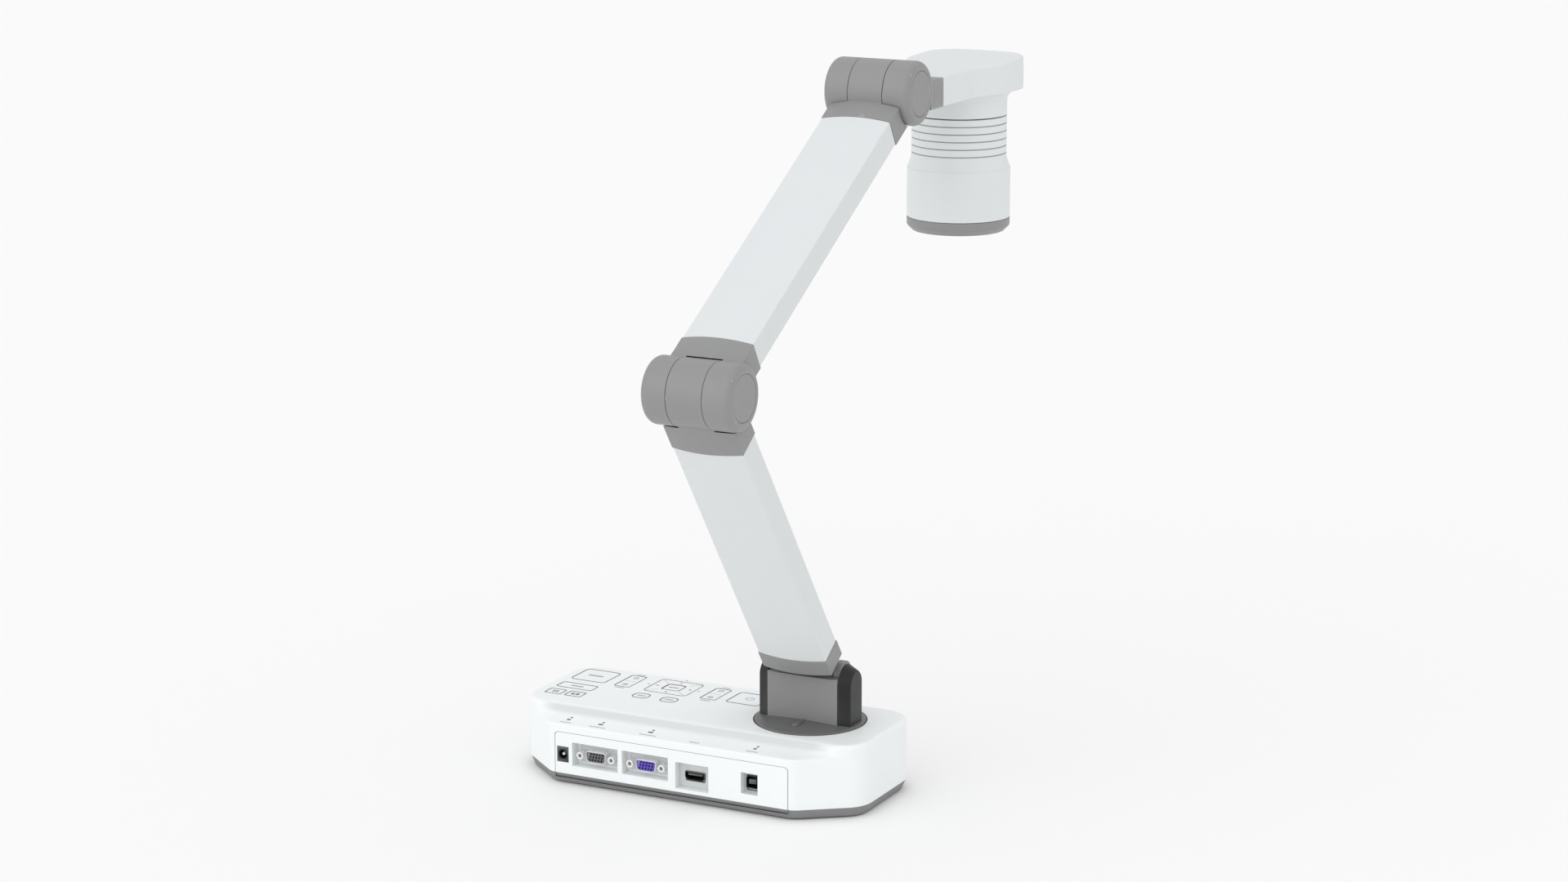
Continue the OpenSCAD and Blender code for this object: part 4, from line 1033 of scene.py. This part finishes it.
LOWER_PITCH = math.atan2(ELBOW.z - LOWER_HINGE.z, ELBOW.y - LOWER_HINGE.y)
UPPER_PITCH = math.radians(149.7)
LOWER_OFF, UPPER_OFF = 4.85, 3.5
LOWER_SPAN, UPPER_SPAN = (29.5, 238.5), (36.5, 272.0)


def build_sleeve(name, node, hinge, pitch, offset, span):
    start, end = span
    count = 12
    layers = [(0.45, start), (0.12, start + 0.12), (0, start + 0.45)]
    layers += [(0, lerp(start + 1, end - 1, i / count)) for i in range(count + 1)]
    layers += [(0, end - 0.45), (0.12, end - 0.12), (0.45, end), (SLEEVE_WALL, end), (SLEEVE_WALL, start)]
    rings = [[arm_place(hinge, pitch, offset, x, along, out)
              for x, out in arm_outline(SLEEVE_INSET + inset, 1.3)] for inset, along in layers]
    piece(name, loft(rings, closed=True), BODY_OF[node], "casing_white", node, material=SLEEVE)


# ---- head ----

HEAD_Z = HEAD_HINGE.z
COVER_UNDER = HEAD_Z - 15.0
COVER_TOP_REAR = HEAD_Z + 5.5
COVER_TOP_FRONT = HEAD_Z + 9.6
GROOVE_Z0, GROOVE_PITCH, GROOVE_HALF, GROOVE_DEPTH = HEAD_Z - 60.0, 5.5, 0.45, 0.9
SEAM_Z = GROOVE_Z0 + 5 * GROOVE_PITCH
SKIRT_LOW = SEAM_Z + GROOVE_HALF
NECK_R = 34.9
BARREL_R = 37.9
NECK_FILLET, SHOULDER_R, COVER_EDGE = 6.5, 43.5, 2.6
# Height of the lens ring's part that sits inside the barrel.
SEAT_H = 3.0
COVER_REAR_Y = 87.0
COVER_FRONT_Y = -45.5
COVER_HALF_W, CORNER_X, CORNER_Y, COVER_CORNER_R = 39.8, 16.0, COVER_FRONT_Y + 24.4, 23.5
WAIST_Y, STEM_Y, STEM_HALF, REAR_HALF = 2, 43, 28, 27


def cover_half_outline():
    """Right half of the head cover in plan, from the front's middle to the rear corner. The lens
    axis is the origin and +y points to the hinge."""
    points = [(CORNER_X * i / 6, COVER_FRONT_Y + 0.9 * (i / 6) ** 2) for i in range(6)]
    points += arc(CORNER_X, CORNER_Y, COVER_CORNER_R, -90, 0, 12)
    points += [(39.5 + 0.3 * (i / 6), lerp(CORNER_Y, WAIST_Y, i / 6)) for i in range(1, 7)]
    points += [(COVER_HALF_W - (COVER_HALF_W - STEM_HALF) * smoothstep(i / 16),
                lerp(WAIST_Y, STEM_Y, i / 16)) for i in range(1, 17)]
    points += [(lerp(STEM_HALF, REAR_HALF, i / 6), lerp(STEM_Y, COVER_REAR_Y, i / 6))
               for i in range(1, 7)]
    return points


def cover_outline(inset):
    rear = [(REAR_HALF - REAR_HALF * i / 5, COVER_REAR_Y) for i in range(1, 6)]
    right = cover_half_outline() + rear
    return offset_loop(right + [(-x, y) for x, y in reversed(right[1:-1])], inset)


def cover_top(y):
    t = (COVER_REAR_Y - y) / (COVER_REAR_Y - COVER_FRONT_Y)
    return lerp(COVER_TOP_REAR, COVER_TOP_FRONT, t)


def lens_place(x, y, z):
    return LENS.x + x, LENS.y + y, z


def neck_ring(plan, r, z):
    """A ring of radius r with its points in the same directions as the plan's points."""
    turns = [math.atan2(y, x) for x, y in plan]
    return [lens_place(r * math.cos(a), r * math.sin(a), z) for a in turns]


def build_head_cover():
    plan = cover_outline(0)
    neck_low = COVER_UNDER - NECK_FILLET
    levels = [(30.3, 0), (NECK_R - 0.22, 0), (NECK_R - 0.06, 0.08), (NECK_R, 0.25)]
    rings = [neck_ring(plan, r, SKIRT_LOW + rise) for r, rise in levels]
    rings += [neck_ring(plan, NECK_R, lerp(SKIRT_LOW + 0.6, neck_low, i / 4)) for i in range(5)]
    steps = 9
    for i in range(1, steps + 1):
        a = math.pi / 2 * i / steps
        grow, z = 1 - math.cos(a), neck_low + NECK_FILLET * math.sin(a)
        ring = []
        for x, y in plan:
            reach = math.hypot(x, y)
            r = lerp(NECK_R, min(reach - 0.9, SHOULDER_R), grow)
            ring.append(lens_place(r * x / reach, r * y / reach, z))
        rings.append(ring)
    for inset, rise in ((0.8, 0), (0.22, 0.25), (0, 0.9)):
        rings.append([lens_place(x, y, COVER_UNDER + rise) for x, y in cover_outline(inset)])
    for i in range(1, 5):
        rings.append([lens_place(x, y, lerp(COVER_UNDER + 0.9, cover_top(y) - COVER_EDGE, i / 5))
                      for x, y in cover_outline(0.25 * (i / 5) ** 2)])
    steps = 8
    for i in range(steps + 1):
        a = math.pi / 2 * i / steps
        inset, drop = COVER_EDGE * (1 - math.cos(a)), COVER_EDGE * (1 - math.sin(a))
        ring = []
        for (x, y), (x0, y0) in zip(cover_outline(0.3 + inset), cover_outline(0.3)):
            keep = smoothstep((COVER_REAR_Y - y0) / 26)
            ring.append(lens_place(lerp(x0 - (x0 - x) * 0.3, x, keep),
                                   lerp(y0 - (y0 - y) * 0.12, y, keep),
                                   cover_top(y) - drop * lerp(0.35, 1, keep)))
        rings.append(ring)
    piece("head_casing", loft(rings), "head", "casing_white", "head_cover", sharp_deg=42,
          material=HEAD_SKIN)


def build_camera_barrel():
    low, top = box_mm("lens_ring")[1].z - SEAT_H, SEAM_Z - GROOVE_HALF
    half, floor_r = GROOVE_HALF, NECK_R - GROOVE_DEPTH
    flare_low, flare_high = HEAD_Z - 70.5, HEAD_Z - 61.2
    flare_r = BARREL_R - 0.42
    profile = [(32.6, low), (BARREL_R - 0.25, low), (BARREL_R, low + 0.25),
               (BARREL_R, lerp(low, flare_low, 0.5)), (BARREL_R, flare_low - 0.9),
               (BARREL_R - 0.1, flare_low - 0.55), (flare_r, flare_low - 0.5)]
    profile += [(NECK_R + (flare_r - NECK_R) * (1 - i / 12) ** 1.6, lerp(flare_low, flare_high, i / 12))
                for i in range(13)]
    for k in range(5):
        z = GROOVE_Z0 + k * GROOVE_PITCH
        profile += [(NECK_R, z - half - 0.2), (NECK_R - 0.1, z - half), (floor_r, z - half),
                    (floor_r, z + half), (NECK_R - 0.1, z + half), (NECK_R, z + half + 0.2)]
    profile += [(NECK_R, top - 0.2), (NECK_R - 0.2, top), (30.1, top), (30.1, top - 7.4),
                (32.5, top - 7.4), (32.5, flare_low), (32.6, low + 4)]
    piece("camera_barrel_skin", lathe(profile, LENS_AXIS, steps=160), "camera",
          "casing_white", "camera_barrel", sharp_deg=60, material=HEAD_SKIN)
    for k in range(6):
        z = GROOVE_Z0 + k * GROOVE_PITCH
        r_in, r_out = (30.6, 31.4) if k == 5 else (floor_r - 0.05, floor_r + 0.35)
        band = softened([(r_in, z - half + 0.02), (r_out, z - half + 0.02), (r_out, z + half - 0.02),
                         (r_in, z + half - 0.02)], 0.05)
        piece(f"neck_band_{k}", lathe(band, LENS_AXIS, steps=160), "camera", "trim_grey",
              material=BAND_GREY)


def build_lens_ring():
    low, high = box_mm("lens_ring")
    top, r = high.z - SEAT_H, BARREL_R
    profile = softened([
        (17.0, low.z + 2.4), (25.6, low.z + 2.4), (26.8, low.z), (r - 4, low.z), (r - 0.6, low.z + 3.4),
        (r, low.z + 4.6), (r, top - 0.35), (r - 0.9, top - 0.3), (r - 0.9, top), (30.2, top),
        (30.2, low.z + 5), (17.0, low.z + 5)], 0.4)
    piece("lens_ring_skin", lathe(profile, LENS_AXIS, steps=160), "camera", "trim_grey",
          "lens_ring", sharp_deg=50)


def build_lens_details():
    """Grip rings inside the lens opening, around the front glass."""
    low = box_mm("lens_ring")[0].z
    for i, (r_in, r_out, z0, z1) in enumerate(((13.0, 16.8, 3.0, 4.2), (12.95, 14.2, 4.6, 5.5))):
        profile = softened([(r_in, low + z0), (r_out, low + z0), (r_out, low + z1), (r_in, low + z1)], 0.25)
        piece(f"lens_trim_{i}", lathe(profile, LENS_AXIS), "camera", "black_plastic")


# ---- turret ----

DISC_RIM_Z, DISC_CROWN_Z = 53.0, 56.0


def build_turret_disc():
    low, high = box_mm("turret_disc")
    r, rim, step = (high.x - low.x) / 2, DISC_RIM_Z, low.z + 7.55
    profile = [(9.0, 40.0), (24.0, 40.0), (24.0, step), (r - 0.4, step), (r, low.z + 8.0),
               (r, rim - 1.1), (r - 0.3, rim - 0.35), (r - 1.0, rim), (r - 2.2, rim + 0.25),
               (r - 3.2, rim + 0.1)]
    profile += [(x, DISC_CROWN_Z - (DISC_CROWN_Z - rim) * (x / r) ** 2)
                for x in (34.0, 30.0, 25.0, 20.0, 14.0, 9.0)]
    piece("turret_disc_skin", lathe(profile, TURRET_AXIS, steps=160), "turret",
          "trim_grey", "turret_disc", sharp_deg=40, material=DISC_SHADED_GREY)


def build_nub():
    """A small teardrop on the disc behind the block."""
    rings = []
    steps, sides = 14, 20
    start, length = Vector((TURRET.x - 2.6, TURRET.y + 13.6)), 16.0
    for i in range(1, steps):
        t = i / steps
        r = 2.9 * math.sqrt(1 - (2 * t - 1) ** 2) * lerp(0.4, 1.1, t)
        ring = []
        for k in range(sides):
            a = 2 * math.pi * k / sides
            ring.append((start.x + 0.08 * t * length + r * math.cos(a), start.y + t * length,
                         lerp(55.8, 54.5, t) + 0.8 * r * math.sin(a)))
        rings.append(ring)
    piece("turret_nub", loft(rings), "turret", "trim_grey", sharp_deg=60, material=DISC_SHADED_GREY)


# ---- scene ----


def build_floor():
    bm = bmesh.new()
    bmesh.ops.create_grid(bm, x_segments=8, y_segments=8, size=FLOOR_SIZE)
    floor = add_object("floor", bm)
    material, tree, shader = new_material("floor")
    coords = tree.nodes.new("ShaderNodeTexCoord")
    shader.inputs["Base Color"].default_value = (0.925, 0.922, 0.917, 1)
    rough = add_range(tree, add_noise(tree, coords, 3.0, 3), *NOISE_SPAN, 0.85, 0.95)
    plug(tree, shader.inputs["Roughness"], rough)
    shader.inputs["Specular IOR Level"].default_value = 0.1
    floor.data.materials.append(material)


def dress_cad_nodes():
    for node, obj in frame["nodes"].items():
        obj.data.materials.clear()
        obj.data.materials.append(MATERIALS[SLOT_OF[node]])
        for polygon in obj.data.polygons:
            polygon.material_index = 0


add_camera()
add_world()
build_floor()
bpy.context.scene.view_settings.view_transform = "Standard"
dress_cad_nodes()

build_casing()
build_well()
build_tray()
build_gap_shades()
build_socket_floor("hdmi_shell", HDMI_X, 20.0, 25.75, 18.75)
build_socket_floor("usb_shell", USB_X, 22.1, 12.75, 15.05)
build_video_socket(VGA_XS[0], "vga_insert_grey", "grey")
build_video_socket(VGA_XS[1], "vga_insert_blue", "blue")
for key in KEYS + ["key_enter"]:
    build_key(key)
for key in ROCKERS:
    build_rocker(key)
print_keys()
print_ledge()
build_sleeve("lower_arm_sleeve", "lower_sleeve", LOWER_HINGE, LOWER_PITCH, LOWER_OFF, LOWER_SPAN)
build_sleeve("upper_arm_sleeve", "upper_sleeve", ELBOW, UPPER_PITCH, UPPER_OFF, UPPER_SPAN)
build_head_cover()
build_camera_barrel()
build_lens_ring()
build_lens_details()
build_turret_disc()
build_nub()
for cad_node, width in (
    ("port_panel", 0.25), ("rubber_feet", 0.3), ("tray_screws", 0.12), ("dc_jack", 0.2),
    ("jackscrews", 0.2), ("hdmi_shell", 0.1), ("usb_shell", 0.1), ("socket_tongues", 0.1),
    ("nav_ring", 0.3), ("ear_cover_right", 1.1), ("ear_cover_left", 1.1), ("lower_foot_cap", 0.4),
    ("lower_elbow_cap", 0.4), ("upper_elbow_yoke", 0.4), ("elbow_discs", 0.3),
    ("upper_head_cap", 0.4), ("head_bracket", 0.4), ("head_discs", 0.3), ("lens_tube", 0.2),
):
    cad_copy(cad_node, width)
cad_copy("turret_block", 0.4, material=BLOCK_SHADED_GREY)
